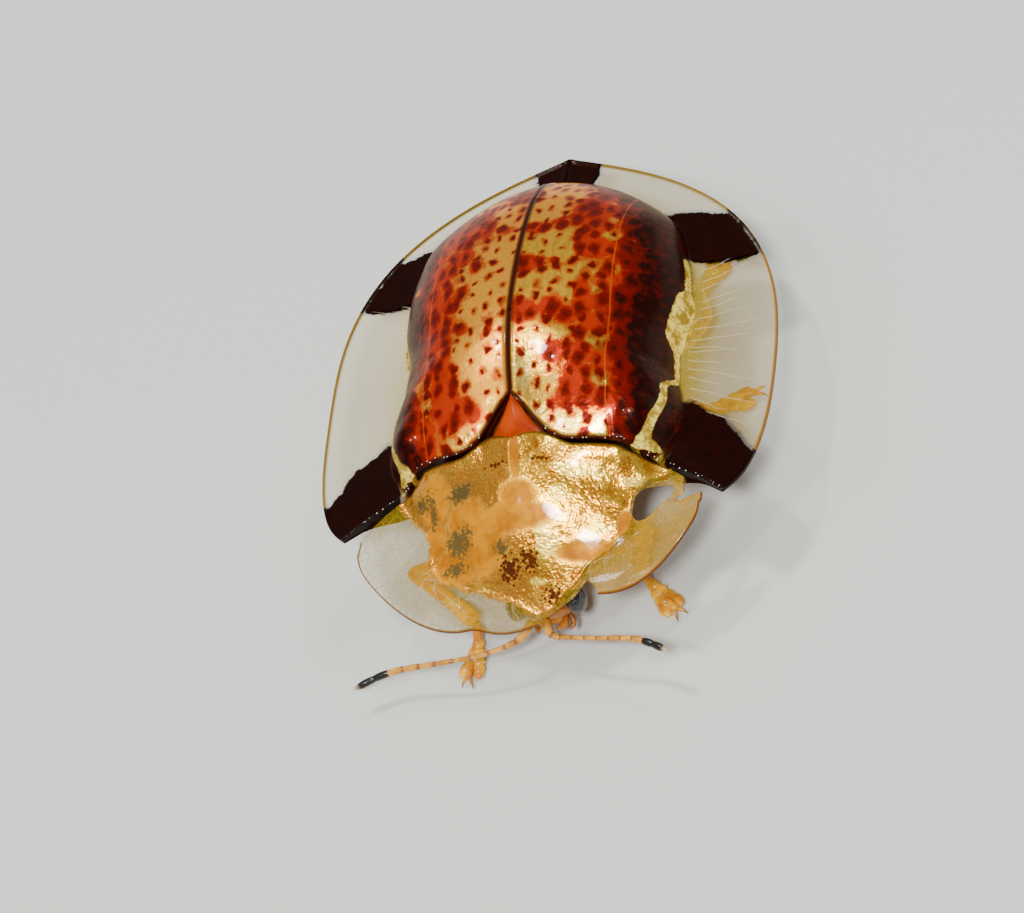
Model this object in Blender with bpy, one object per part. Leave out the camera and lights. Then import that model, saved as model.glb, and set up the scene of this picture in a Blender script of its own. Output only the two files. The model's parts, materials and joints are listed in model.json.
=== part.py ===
"""A tortoise beetle at life size, standing with its shell closed.

Blender 4.5, metres, +Z up. The head looks along -Y and the beetle's own left side is at +X.
Sizes below are in millimetres, heights are measured from the floor, and the mesh data is in metres.
"""

import math

import bmesh
import bpy
import numpy as np
from mathutils import Matrix, Vector

MM = 0.001

# Driving sizes of the shell
BODY_LENGTH = 13.0
FRONT_Y = -0.5 * BODY_LENGTH
APEX_Y = 0.5 * BODY_LENGTH
EDGE_CLEARANCE = 1.9
CREST_Y = 0.2
CREST_HEIGHT = EDGE_CLEARANCE + 3.27
SHELL_THICKNESS = 0.5
SHIELD_THICKNESS = 0.5
EDGE_UNDERCUT = 0.34
NORMAL_SMOOTHING = 12
LIMB_LEAST = 0.5
GAP = 0.3
# The feelers reach further forward than the shell reaches back, so the body moves back to centre the whole.
BODY_SHIFT_Y = 0.46

# Half outlines in plan, from the middle line outwards
SCUTELLUM_TIP_Y = -1.83
SHIELD_BACK_Y = -2.86
SHOULDER_TIP = (4.70, -4.10)
SHELL_SIDE = (SHOULDER_TIP, (5.13, -3.63), (5.53, -2.35), (5.65, -0.40), (5.46, 1.93),
              (4.44, 4.02), (2.44, 5.55), (0.0, APEX_Y))
SHELL_BASE = ((0.0, SCUTELLUM_TIP_Y), (0.34, -2.21), (0.76, -2.70), (1.30, -2.97), (2.40, -3.00),
              (3.40, -3.32), (4.20, -3.65), SHOULDER_TIP)
SHIELD_FRONT = ((0.0, FRONT_Y), (0.45, -6.55), (1.10, -6.50), (1.60, -6.36), (2.00, -6.34), (2.72, -6.17),
                (3.46, -5.74), (4.05, -5.17), (4.40, -4.66), (4.47, -4.34))

# Disc of the shell: its reach from the crest, by the angle from the sideways line, in degrees
DISC_REACH = ((-90, 3.75), (-70, 4.43), (-58, 4.63), (-47, 4.66), (-32, 4.35), (-15, 3.62), (0, 3.43),
              (18, 3.80), (38, 4.35), (50, 4.74), (60, 4.86), (75, 5.05), (90, 5.18))
DISC_FOOT = EDGE_CLEARANCE + 0.30
MARGIN_SLOPE = 0.20
SHOULDER_KNOB = (3.02, -2.38, 0.34, 0.52)


def monotone_curve(knots):
    """A smooth function through (x, y) knots that never overshoots them."""
    kx, ky = np.array(knots, float).T
    step = np.diff(kx)
    rise = np.diff(ky) / step
    slope = np.zeros(len(kx))
    same_way = rise[:-1] * rise[1:] > 0
    slope[1:-1][same_way] = 2 * (rise[:-1] * rise[1:])[same_way] / (rise[:-1] + rise[1:])[same_way]
    slope[0], slope[-1] = rise[0], rise[-1]

    def value(x):
        x = np.clip(np.asarray(x, float), kx[0], kx[-1])
        i = np.clip(np.searchsorted(kx, x, side="right") - 1, 0, len(step) - 1)
        h = step[i]
        t = (x - kx[i]) / h
        return ((1 + 2 * t) * (1 - t) ** 2 * ky[i] + t * (1 - t) ** 2 * h * slope[i]
                + t * t * (3 - 2 * t) * ky[i + 1] + t * t * (t - 1) * h * slope[i + 1])

    return value


def smooth_through(points, count):
    """Points evenly spaced in parameter on a natural cubic spline through the given points."""
    p = np.array(points, float)
    chord = np.concatenate([[0], np.cumsum(np.sqrt(np.linalg.norm(np.diff(p, axis=0), axis=1)))])
    n = len(p)
    h = np.diff(chord)
    system = np.eye(n)
    right = np.zeros_like(p)
    for i in range(1, n - 1):
        system[i, i - 1:i + 2] = h[i - 1], 2 * (h[i - 1] + h[i]), h[i]
        right[i] = 6 * ((p[i + 1] - p[i]) / h[i] - (p[i] - p[i - 1]) / h[i - 1])
    bend = np.linalg.solve(system, right)
    at = np.linspace(0, chord[-1], count)
    i = np.clip(np.searchsorted(chord, at, side="right") - 1, 0, n - 2)
    a, b = (chord[i + 1] - at)[:, None], (at - chord[i])[:, None]
    w = h[i][:, None]
    return ((bend[i] * a ** 3 + bend[i + 1] * b ** 3) / (6 * w)
            + (p[i] / w - bend[i] * w / 6) * a + (p[i + 1] / w - bend[i + 1] * w / 6) * b)


def polar_reach(outline, centre_y):
    """Reach of a half outline from (0, centre_y), as a function of the angle from the sideways line."""
    line = smooth_through(outline, 200)
    angle = np.degrees(np.arctan2(line[:, 1] - centre_y, line[:, 0]))
    reach = np.hypot(line[:, 0], line[:, 1] - centre_y)
    order = np.argsort(angle)
    angle, reach = angle[order], reach[order]
    return lambda a: np.interp(a, angle, reach)


def smooth_max(a, b, blend):
    return 0.5 * (a + b + np.sqrt((a - b) ** 2 + blend ** 2))


disc_reach = monotone_curve(DISC_REACH)
side_reach = polar_reach(SHELL_SIDE, CREST_Y)
base_reach = polar_reach(SHELL_BASE, CREST_Y)
SHOULDER_ANGLE = math.degrees(math.atan2(SHOULDER_TIP[1] - CREST_Y, SHOULDER_TIP[0]))


def shell_edge_height(y):
    return EDGE_CLEARANCE + 0.38 + 0.033 * np.maximum(0.0, 1.2 - y) ** 1.7


def shell_height(x, y, knob_share=1.0):
    """Height of the shell's upper face above the floor, with or without the knob on the shoulder."""
    x = np.abs(x)
    angle = np.degrees(np.arctan2(y - CREST_Y, x))
    reach = np.hypot(x, y - CREST_Y)
    inward = side_reach(np.maximum(angle, SHOULDER_ANGLE)) - reach
    margin = shell_edge_height(y) + MARGIN_SLOPE * inward
    along = np.sin(np.radians(angle))
    power = np.where(along > 0, 2.15 - 0.55 * along ** 2, 2.15 - 0.45 * along ** 2)
    steep = np.where(along > 0, 0.47 - 0.07 * along ** 2, 0.47 - 0.03 * along ** 2)
    t = np.clip(reach / disc_reach(angle), 0, 1)
    dome = DISC_FOOT + (CREST_HEIGHT - DISC_FOOT) * (1 - t ** power) ** steep
    knob_x, knob_y, knob_height, knob_size = SHOULDER_KNOB
    knob = knob_share * knob_height * np.exp(-((x - knob_x) ** 2 + (y - knob_y) ** 2) / knob_size ** 2)
    return smooth_max(dome + knob, margin, 0.12)


# Shield: dome over the thorax that runs out into a thin brim
SHIELD_TOP = EDGE_CLEARANCE + 2.42
SHIELD_CORNER_RISE = 0.72
SHIELD_SIDE_REACH = 3.4
SHIELD_FRONT_REACH = 3.3


def shield_height(x, y):
    """Height of the shield's upper face above the floor, before the torn side is bent."""
    x = np.abs(x)
    back = np.minimum(y - SHIELD_BACK_Y, 0.0)
    t = np.clip(np.hypot(x / SHIELD_SIDE_REACH, back / SHIELD_FRONT_REACH), 0, 1)
    forward = np.clip(-back / (SHIELD_BACK_Y - FRONT_Y), 0, 1.05)
    brim = EDGE_CLEARANCE + SHIELD_CORNER_RISE * (1 - forward ** 2.2) + 0.16 * np.maximum(0, 4.5 - x)
    brim = brim - 0.62 * forward ** 3
    return brim + (SHIELD_TOP - EDGE_CLEARANCE - SHIELD_CORNER_RISE - 0.72) * (1 - t ** 2) ** 1.65


# Building blocks

def material(name, colour, roughness, metallic=0.0):
    made = bpy.data.materials.new(name)
    made.use_nodes = True
    shader = made.node_tree.nodes["Principled BSDF"]
    shader.inputs["Base Color"].default_value = (*colour, 1.0)
    shader.inputs["Roughness"].default_value = roughness
    shader.inputs["Metallic"].default_value = metallic
    return made


def link(name, data, finish, collection):
    obj = bpy.data.objects.new(name, data)
    collection.objects.link(obj)
    if finish is not None:
        data.materials.append(finish)
    return obj


def mesh_from(name, points, faces):
    """A mesh from points in millimetres, with doubles merged and no face left without area."""
    made = bpy.data.meshes.new(name)
    made.from_pydata([tuple(c * MM for c in p) for p in points], [], faces)
    work = bmesh.new()
    work.from_mesh(made)
    bmesh.ops.remove_doubles(work, verts=work.verts, dist=1e-6)
    bmesh.ops.dissolve_degenerate(work, edges=work.edges, dist=1e-7)
    work.to_mesh(made)
    work.free()
    made.shade_smooth()
    return made


def grid_faces(rows, columns, closed=False):
    """Triangles of a grid of points, split the same way everywhere."""
    faces = []
    for r in range(rows - 1):
        for c in range(columns if closed else columns - 1):
            a, b = r * columns + c, r * columns + (c + 1) % columns
            d, e = a + columns, b + columns
            faces += [(a, b, e), (a, e, d)]
    return faces


def evaluated_mesh(obj):
    graph = bpy.context.evaluated_depsgraph_get()
    graph.update()
    return bpy.data.meshes.new_from_object(obj.evaluated_get(graph), depsgraph=graph)


def as_mesh(obj):
    """Replaces an object by a plain mesh object of its evaluated shape, with a curve's caps welded."""
    data = evaluated_mesh(obj)
    work = bmesh.new()
    work.from_mesh(data)
    bmesh.ops.remove_doubles(work, verts=work.verts, dist=1e-7)
    bmesh.ops.recalc_face_normals(work, faces=work.faces)
    work.to_mesh(data)
    work.free()
    made = bpy.data.objects.new(obj.name, data)
    for collection in obj.users_collection:
        collection.objects.link(made)
    made.matrix_world = obj.matrix_world.copy()
    name = obj.name
    bpy.data.objects.remove(obj)
    made.name = name
    return made


def largest_body(mesh):
    """Keeps the largest closed surface of a mesh and drops loose scraps."""
    work = bmesh.new()
    work.from_mesh(mesh)
    left, bodies = set(work.faces), []
    while left:
        stack = [left.pop()]
        body = set(stack)
        while stack:
            for edge in stack.pop().edges:
                for face in edge.link_faces:
                    if face in left:
                        left.discard(face)
                        body.add(face)
                        stack.append(face)
        bodies.append(body)
    keep = max(bodies, key=lambda body: sum(f.calc_area() for f in body))
    bmesh.ops.delete(work, geom=[f for f in work.faces if f not in keep], context="FACES")
    work.to_mesh(mesh)
    work.free()


def boolean(target, others, operation, solver="EXACT"):
    """Joins others to target, or cuts them from it, and applies the result."""
    group = bpy.data.collections.new(target.name + "_tools")
    for other in others:
        group.objects.link(other)
    step = target.modifiers.new(operation.title(), "BOOLEAN")
    step.operation = operation
    step.operand_type = "COLLECTION"
    step.collection = group
    step.solver = solver
    data = evaluated_mesh(target)
    target.modifiers.remove(step)
    target.data = data
    for other in others:
        bpy.data.objects.remove(other)
    bpy.data.collections.remove(group)
    largest_body(target.data)
    return target


def tube(name, points, radii, collection, finish, sides=2):
    """A tapering tube through the points: a polyline curve with a radius at each point."""
    curve = bpy.data.curves.new(name, "CURVE")
    curve.dimensions = "3D"
    curve.bevel_depth = MM
    curve.bevel_resolution = sides
    curve.use_fill_caps = True
    curve.twist_mode = "MINIMUM"
    line = curve.splines.new("POLY")
    line.points.add(len(points) - 1)
    for spot, p, r in zip(line.points, points, radii):
        spot.co = (p[0] * MM, p[1] * MM, p[2] * MM, 1.0)
        spot.radius = r
    return link(name, curve, finish, collection)


def ellipsoid(name, centre, size, collection, turn=Matrix.Identity(3), rings=6, sides=10):
    data = bpy.data.meshes.new(name)
    work = bmesh.new()
    bmesh.ops.create_uvsphere(work, u_segments=sides, v_segments=rings, radius=1.0)
    scale = Matrix.Diagonal((size[0] * MM, size[1] * MM, size[2] * MM)).to_4x4()
    where = Matrix.Translation(Vector(centre) * MM) @ turn.to_4x4() @ scale
    bmesh.ops.transform(work, matrix=where, verts=work.verts)
    work.to_mesh(data)
    work.free()
    data.shade_smooth()
    return link(name, data, None, collection)


def loft(name, sections, collection, finish):
    """A closed body through rings of points, each ring with as many points as the next."""
    count = len(sections[0])
    points = [p for ring in sections for p in ring]
    faces = grid_faces(len(sections), count, closed=True)
    for ring, flip in ((0, True), (len(sections) - 1, False)):
        middle = np.mean(sections[ring], axis=0)
        points.append(tuple(middle))
        centre = len(points) - 1
        for c in range(count):
            a, b = ring * count + c, ring * count + (c + 1) % count
            faces.append((b, a, centre) if flip else (a, b, centre))
    data = mesh_from(name, points, faces)
    work = bmesh.new()
    work.from_mesh(data)
    bmesh.ops.recalc_face_normals(work, faces=work.faces)
    work.to_mesh(data)
    work.free()
    return link(name, data, finish, collection)


# Shell: two wing cases and the small triangle between their roots

RAYS = (np.array([-90, -84, -78, -72, -66, -60, -55, -51, -48, -46, -44.5, -43.4, SHOULDER_ANGLE, -40, -36, -31,
                  -25, -18, -10, -2, 6, 14, 22, 30, 38, 46, 54, 61, 68, 75, 81, 86, 90]))
DISC_RINGS = 9
MARGIN_RINGS = 4


def elytron_surface(side):
    """Upper face of one wing case, and a smoother one to measure its thickness from.

    The points stand in rings round the crest, close together where the disc is steep.
    """
    inner = 0.5 * GAP
    plan = [(inner, CREST_Y)]
    disc_steps = np.sin(np.linspace(0, 0.5 * math.pi, DISC_RINGS + 1)[1:]) ** 0.9
    for angle in RAYS:
        edge = float(side_reach(angle)) if angle >= SHOULDER_ANGLE else float(base_reach(angle))
        foot = min(float(disc_reach(angle)), 0.82 * edge)
        reach = np.concatenate([foot * disc_steps, foot + (edge - foot) * np.array([0.12, 0.35, 0.66, 1.0])])
        level = math.cos(math.radians(angle))
        x = inner + reach * level * (1 - inner / max(edge * level, inner))
        plan += list(zip(x, CREST_Y + reach * math.sin(math.radians(angle))))
    x, y = np.array(plan).T
    upper = np.stack([side * x, y, shell_height(x, y)], axis=1)
    smoother = np.stack([side * x, y, shell_height(x, y, 0.0)], axis=1)
    rings = DISC_RINGS + MARGIN_RINGS
    faces = []
    for r in range(len(RAYS) - 1):
        a, b = 1 + r * rings, 1 + (r + 1) * rings
        faces.append((0, a, b))
        for k in range(rings - 1):
            faces += [(a + k, a + k + 1, b + k + 1), (a + k, b + k + 1, b + k)]
    if side < 0:
        faces = [f[::-1] for f in faces]
    return upper, smoother, faces


def smooth_normals(points, faces, ends, on_line):
    """Directions square to a surface, evened out between neighbours so that an offset never folds."""
    corners = np.array(faces)
    across = np.cross(points[corners[:, 1]] - points[corners[:, 0]], points[corners[:, 2]] - points[corners[:, 0]])
    normals = np.zeros_like(points)
    for k in range(3):
        np.add.at(normals, corners[:, k], across)
    for _ in range(NORMAL_SMOOTHING):
        normals[on_line, 0] = 0.0
        normals /= np.linalg.norm(normals, axis=1)[:, None]
        around = np.zeros_like(normals)
        np.add.at(around, ends[:, 0], normals[ends[:, 1]])
        normals = normals + around / np.linalg.norm(around, axis=1)[:, None]
    normals[on_line, 0] = 0.0
    return normals / np.linalg.norm(normals, axis=1)[:, None]


def sheet(name, upper, faces, thickness, collection, finish, undercut, smoother=None, straight=None):
    """A closed plate under the upper points.

    Its thickness is upright, or square to the smoother points where these are given. Its free edge is
    undercut by as much as undercut(x, y) gives, so that it thins to a lip. Points on the straight line,
    given by its x, move down only, so that the plate keeps a flat side there.
    """
    upper = np.array(upper, float)
    under = upper if smoother is None else np.array(smoother, float)
    on_line = np.zeros(len(upper), bool) if straight is None else np.abs(under[:, 0] - straight) < 1e-6
    edges = {(f[k], f[(k + 1) % 3]) for f in faces for k in range(3)}
    ends = np.array(sorted(edges | {(b, a) for a, b in edges}))
    normals = np.tile((0.0, 0.0, 1.0), (len(upper), 1))
    if smoother is not None:
        normals = smooth_normals(under, faces, ends, on_line)
    border = sorted(e for e in edges if (e[1], e[0]) not in edges)
    inward = np.zeros_like(under)
    for a, b in border:
        square = np.cross(0.5 * (normals[a] + normals[b]), under[b] - under[a])
        inward[a] += square
        inward[b] += square
    on_border = np.zeros(len(upper), bool)
    on_border[np.array(border)] = True
    room = np.full(len(upper), np.inf)
    for a, b in ends:
        if on_border[a] and not on_border[b]:
            room[a] = min(room[a], np.linalg.norm(under[a] - under[b]))
    room[~np.isfinite(room) | on_line] = 0.0
    for i in np.flatnonzero(on_border):
        inward[i] *= min(undercut(*upper[i, :2]), 0.5 * room[i]) / np.linalg.norm(inward[i])
    lower = under - thickness * normals + inward
    count = len(upper)
    walls = [(b, a, a + count, b + count) for a, b in border]
    underside = [tuple(i + count for i in f[::-1]) for f in faces]
    points = np.concatenate([upper, lower])
    return link(name, mesh_from(name, points, list(faces) + underside + walls), finish, collection)


def make_elytron(name, side, collection, finish):
    upper, smoother, faces = elytron_surface(side)

    def undercut(x, y):
        return EDGE_UNDERCUT if math.atan2(y - CREST_Y, abs(x)) > math.radians(SHOULDER_ANGLE) else 0.0

    return sheet(name, upper, faces, SHELL_THICKNESS, collection, finish, undercut, smoother, side * 0.5 * GAP)


def make_scutellum(collection, finish):
    """The triangle between the shell's roots, a little domed."""
    half, tip_y, back_y = 0.44, SCUTELLUM_TIP_Y - 0.36, SHIELD_BACK_Y + 0.5 * GAP
    rows, across = 4, 5
    points = []
    for r in range(rows):
        t = r / (rows - 1)
        y = back_y + (tip_y - back_y) * t
        width = half * (1 - t) ** 0.8 + 0.05
        for c in range(across):
            s = 2 * c / (across - 1) - 1
            x = s * width
            points.append((x, y, float(shell_height(0.0, y)) - 0.05 - 0.06 * s * s))
    return sheet("scutellum", points, grid_faces(rows, across), LIMB_LEAST, collection, finish, lambda x, y: 0.0)


# Shield with its torn left brim

SHIELD_ACROSS = 40
SHIELD_DEEP = 9
TORN_LIFT = 0.42
TORN_INSET = 0.30


def shield_back_line(count):
    """Rear edge of the shield, kept a gap in front of the shell's base and the scutellum."""
    base = smooth_through(SHELL_BASE[2:-1], 60)
    way = np.gradient(base, axis=0)
    ahead = np.stack([way[:, 1], -way[:, 0]], axis=1) / np.linalg.norm(way, axis=1)[:, None]
    clear = (base + ahead * GAP)[::12]
    clear = clear[clear[:, 0] < 3.9]
    return smooth_through([(0.0, SHIELD_BACK_Y - 0.5 * GAP), *clear, (4.34, -4.16)], count)


def torn_bend(x, y):
    """How far the left brim is bent, 0 to 1: none on the dome, all at the edge."""
    out = np.clip((np.hypot(x / 1.08, (y - SHIELD_BACK_Y) / 1.0) - 2.35) / 1.5, 0, 1)
    beside = np.clip((x - 0.1) / 1.4, 0, 1)
    ahead = np.clip((-3.55 - y) / 0.9, 0, 1)
    return (out * beside * ahead) ** 1.2


def shield_surface():
    half = SHIELD_ACROSS // 2 + 1
    back, front = shield_back_line(half), smooth_through(SHIELD_FRONT, half)
    back = np.concatenate([back[::-1] * (-1, 1), back[1:]])
    front = np.concatenate([front[::-1] * (-1, 1), front[1:]])
    points = []
    for a, b in zip(back, front):
        for t in np.linspace(0, 1, SHIELD_DEEP) ** 0.9:
            x, y = a + (b - a) * t
            bend = float(torn_bend(x, y))
            z = float(shield_height(x, y)) + TORN_LIFT * bend
            inward = np.array([x, y - SHIELD_BACK_Y]) / max(math.hypot(x, y - SHIELD_BACK_Y), 1e-6)
            x, y = np.array([x, y]) - inward * TORN_INSET * bend
            points.append((x, y, z))
    return points, grid_faces(len(back), SHIELD_DEEP)


def prism(name, outline, low, high, collection):
    """An upright block with the given plan outline, used as a cutter."""
    count = len(outline)
    points = [(x, y, low) for x, y in outline] + [(x, y, high) for x, y in outline]
    faces = [tuple(range(count))[::-1], tuple(range(count, 2 * count))]
    faces += [(i, (i + 1) % count, (i + 1) % count + count, i + count) for i in range(count)]
    data = mesh_from(name, points, faces)
    work = bmesh.new()
    work.from_mesh(data)
    bmesh.ops.recalc_face_normals(work, faces=work.faces)
    work.to_mesh(data)
    work.free()
    return link(name, data, None, collection)


FRONT_NOTCH = ((0.10, -6.9), (0.10, -6.44), (0.56, -6.25), (0.98, -6.03), (1.32, -5.74), (1.52, -5.88),
               (1.62, -6.20), (1.70, -6.9))
BRIM_HOLE = ((2.52, -4.42), (2.60, -3.98), (2.92, -3.72), (3.42, -3.72), (3.52, -3.92), (3.22, -4.30), (2.95, -4.56),
             (2.66, -4.60))
BRIM_BREAK = ((3.78, -3.2), (3.74, -3.92), (3.56, -4.22), (3.72, -4.30), (4.20, -4.06), (5.2, -4.10), (5.2, -3.2))


PROSTERNUM_FRONT_Y = -4.85


def superellipse_ring(y, half_width, top, bottom, middle, count, square=0.88):
    ring = []
    for k in range(count):
        a = 2 * math.pi * k / count
        c, s = math.cos(a), math.sin(a)
        reach = (top - middle) if s > 0 else (middle - bottom)
        ring.append((half_width * math.copysign(abs(c) ** square, c), y,
                     middle + reach * math.copysign(abs(s) ** square, s)))
    return ring


COXA_RADIUS = 0.40
BELLY = EDGE_CLEARANCE - 0.82
COXAE = {"front": (0.62, -4.30, BELLY + 0.06), "middle": (0.82, -1.75, BELLY + 0.06), "hind": (0.88, 0.02, BELLY + 0.06)}


def coxa_pair(which, collection):
    x, y, z = COXAE[which]
    return [ellipsoid(f"coxa_{which}_{side}", (side * x, y, z), (COXA_RADIUS, COXA_RADIUS, COXA_RADIUS), collection)
            for side in (1, -1)]


def make_pronotum(collection, cutters, finish):
    """The shield, and under it the ring of the first body segment, which is one piece with it."""
    points, faces = shield_surface()
    shield = sheet("pronotum", points, faces, SHIELD_THICKNESS, collection, finish,
                   lambda x, y: EDGE_UNDERCUT if y < -4.4 else 0.0)
    stations = np.linspace(SHIELD_BACK_Y - 0.5 * GAP, PROSTERNUM_FRONT_Y, 7)
    sections = []
    for y in stations:
        t = (stations[0] - y) / (stations[0] - stations[-1])
        width = 2.15 * (1 - 0.55 * t ** 2.0)
        top = float(shield_height(0.0, y)) - 0.5 * SHIELD_THICKNESS - 0.05
        side_top = float(shield_height(width, y)) - 0.5 * SHIELD_THICKNESS
        middle = side_top - 0.25
        bottom = BELLY + 0.12 + 0.25 * t ** 2
        sections.append(superellipse_ring(y, width, top, bottom, middle, 20))
    ring = loft("prosternum", sections, collection, None)
    shield = boolean(shield, [ring, *coxa_pair("front", collection)], "UNION")
    cuts = [prism(n, o, 0.0, 6.0, cutters) for n, o in
            (("front_notch", FRONT_NOTCH), ("brim_hole", BRIM_HOLE), ("brim_break", BRIM_BREAK))]
    return boolean(shield, cuts, "DIFFERENCE")


# Body under the shell

def body_half_width(y):
    return 2.58 * math.sqrt(max(0.0, 1 - ((y - 0.3) / 4.78) ** 2))


def body_top(y):
    """Top of the body on the middle line, a clear gap under the shell's inner face."""
    slope = float(shell_height(0.0, y + 0.05) - shell_height(0.0, y - 0.05)) / 0.1
    return float(shell_height(0.0, y)) - (SHELL_THICKNESS + GAP + 0.08) * math.hypot(1.0, slope)


def make_thorax(collection, finish):
    stations = np.linspace(SHIELD_BACK_Y + 0.5 * GAP, 0.42, 9)
    sections = []
    for y in stations:
        width = body_half_width(y) * min(1.0, 0.80 + 0.14 * (y - stations[0]))
        ridge = 0.10 * math.sin(math.pi * (y - stations[0]) / (stations[-1] - stations[0]))
        top = min(body_top(y), 4.05 + 0.05 * y) - 0.25 * max(0.0, -2.0 - y)
        sections.append(superellipse_ring(y, width, top, BELLY - ridge, EDGE_CLEARANCE + 0.35, 24))
    thorax = loft("thorax", sections, collection, finish)
    return boolean(thorax, [*coxa_pair("middle", collection), *coxa_pair("hind", collection)], "UNION")


ABDOMEN_PLATES = 5
PLATE_STEP = 0.07


def make_abdomen(collection, finish):
    """Five belly plates, each standing a little proud of the next at its rear edge."""
    first, last = 0.42 + GAP, 4.92
    edges = first + (last - first) * np.linspace(0, 1, ABDOMEN_PLATES + 1) ** 0.92
    sections = []
    for k in range(ABDOMEN_PLATES):
        for share in (0.0, 0.55, 0.97):
            y = edges[k] + (edges[k + 1] - edges[k]) * share
            t = (y - first) / (last - first)
            proud = PLATE_STEP * (share - 0.5)
            width = body_half_width(y) + proud
            bottom = BELLY + 1.05 * t ** 2.2 - proud
            middle = EDGE_CLEARANCE + 0.35 - 0.1 * t
            top = max(body_top(y), middle + 0.12)
            sections.append(superellipse_ring(y, max(width, 0.25), top, min(bottom, middle - 0.12), middle, 24))
    return loft("abdomen", sections, collection, finish)


# Head, eyes and feelers

HEAD_SIZE = (0.78, 0.42, 0.50)
HEAD_CENTRE = (0.0, PROSTERNUM_FRONT_Y - GAP - HEAD_SIZE[1], EDGE_CLEARANCE - 0.45)
EYE_CENTRE = (0.76, -5.66, EDGE_CLEARANCE - 0.42)
EYE_SIZE = (0.26, 0.36, 0.36)


def make_head(collection, cutters, finish):
    """A short capsule with a brow, an upper lip and a pair of jaws, hollowed beside for the eyes."""
    x, y, z = HEAD_CENTRE
    head = ellipsoid("head", HEAD_CENTRE, HEAD_SIZE, collection, rings=12, sides=18)
    head.data.materials.append(finish)
    brow = ellipsoid("brow", (x, y - 0.16, z + 0.10), (0.40, 0.30, 0.32), collection, rings=8, sides=12)
    lip = ellipsoid("lip", (x, y - 0.16, z - 0.36), (0.32, 0.24, 0.22), collection, rings=8, sides=12)
    jaws = [ellipsoid(f"jaw_{s}", (x + s * 0.16, y - 0.20, z - 0.52), (0.15, 0.20, 0.16), collection,
                      Matrix.Rotation(s * 0.35, 3, "Z"), rings=6, sides=8) for s in (1, -1)]
    head = boolean(head, [brow, lip, *jaws], "UNION")
    grown = tuple(c + GAP for c in EYE_SIZE)
    sockets = [ellipsoid(f"socket_{s}", (s * EYE_CENTRE[0], EYE_CENTRE[1], EYE_CENTRE[2]), grown, cutters,
                         rings=8, sides=14) for s in (1, -1)]
    return boolean(head, sockets, "DIFFERENCE")


FEELER_SEGMENTS = (0.62, 0.28, 0.42, 0.46, 0.46, 0.44, 0.42, 0.42, 0.40, 0.40, 0.52)
FEELER_SWELL = (1.12, 0.98, 0.96, 0.96, 0.96, 0.98, 1.0, 1.04, 1.08, 1.10, 1.04)
FEELER_ROUTES = {
    "right": ((-0.42, -6.26, -0.74), (-0.72, -6.38, -0.76), (-1.05, -6.44, -0.78), (-1.62, -6.56, -0.80),
              (-2.24, -6.62, -0.82), (-3.20, -6.60, -0.90), (-4.18, -6.62, -1.02), (-5.02, -6.88, -1.12)),
    "left": ((0.22, -6.26, -0.74), (0.34, -6.42, -0.76), (0.56, -6.46, -0.76), (0.95, -6.56, -0.72),
             (1.50, -6.66, -0.64), (2.24, -6.84, -0.54), (3.06, -7.30, -0.48)),
}


def make_feeler(side_name, collection, finish):
    """Eleven links on one smooth route, each a little narrower at its joints, with a pointed last link."""
    route = smooth_through([(x, y, EDGE_CLEARANCE + z) for x, y, z in FEELER_ROUTES[side_name]], 300)
    run = np.concatenate([[0], np.cumsum(np.linalg.norm(np.diff(route, axis=0), axis=1))])
    total = sum(FEELER_SEGMENTS)
    stops, radii, start = [], [], 0.0
    for k, (length, swell) in enumerate(zip(FEELER_SEGMENTS, FEELER_SWELL)):
        full = 0.5 * LIMB_LEAST * swell
        last = k == len(FEELER_SEGMENTS) - 1
        profile = ((0.0, 0.86), (0.30, 1.0), (0.75, 0.95)) if not last else (
            (0.0, 0.86), (0.25, 1.0), (0.6, 0.82), (0.85, 0.42), (1.0, 0.12))
        if k == 0:
            profile = ((0.0, 0.62), (0.12, 0.92), (0.45, 1.0), (0.8, 0.92))
        for share, swelling in profile:
            stops.append((start + share * length) / total * run[-1])
            radii.append(full * swelling)
        start += length
    points = np.stack([np.interp(stops, run, route[:, i]) for i in range(3)], axis=1)
    return tube(f"antenna_{side_name}", points, radii, collection, finish)


# Legs: knee, ankle and claw tip of each, with heights above or below the shell's edge level

LEGS = {
    "front_right": ((-3.72, -4.05, -0.74), (-2.10, -5.36, -1.26), (-2.42, -6.80)),
    "front_left": ((2.35, -3.70, -0.66), (1.90, -4.42, -1.26), (2.90, -5.62)),
    "middle_right": ((-3.15, -2.05, -0.76), (-3.45, -0.55, -1.26), (-4.70, 0.40)),
    "middle_left": ((3.10, -1.75, -0.76), (2.95, -0.05, -1.26), (4.65, 0.46)),
    "hind_right": ((-3.50, 1.75, -0.76), (-2.95, 3.25, -1.26), (-3.75, 4.40)),
    "hind_left": ((3.38, 1.95, -0.76), (2.75, 3.40, -1.26), (3.40, 4.62)),
}
THIGH = (0.25, 0.35, 0.27)
SHIN = (0.25, 0.25, 0.30)
FOOT_THICKNESS = 0.52


def unit(v):
    return v / np.linalg.norm(v)


def leg_points(name):
    """Hip joint, start and end of the thigh, start and end of the shin, start of the foot and claw tip."""
    which, side_name = name.split("_")
    hip = np.array(COXAE[which]) * (1 if side_name == "left" else -1, 1, 1)
    knee, ankle = (np.array(p) + (0, 0, EDGE_CLEARANCE) for p in LEGS[name][:2])
    out = knee - hip
    out[2] = -0.25 * np.linalg.norm(out[:2])
    root = hip + unit(out) * (COXA_RADIUS + GAP)
    thigh, shin = unit(knee - root), unit(ankle - knee)
    half_bend = math.sqrt(0.5 * (1 + float(thigh @ shin)))
    half = (0.5 * GAP + 0.08) / max(half_bend, 0.4)
    return root, knee - thigh * half, knee + shin * half, ankle, ankle + shin * GAP, np.array([*LEGS[name][2], 0.0])


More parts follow.
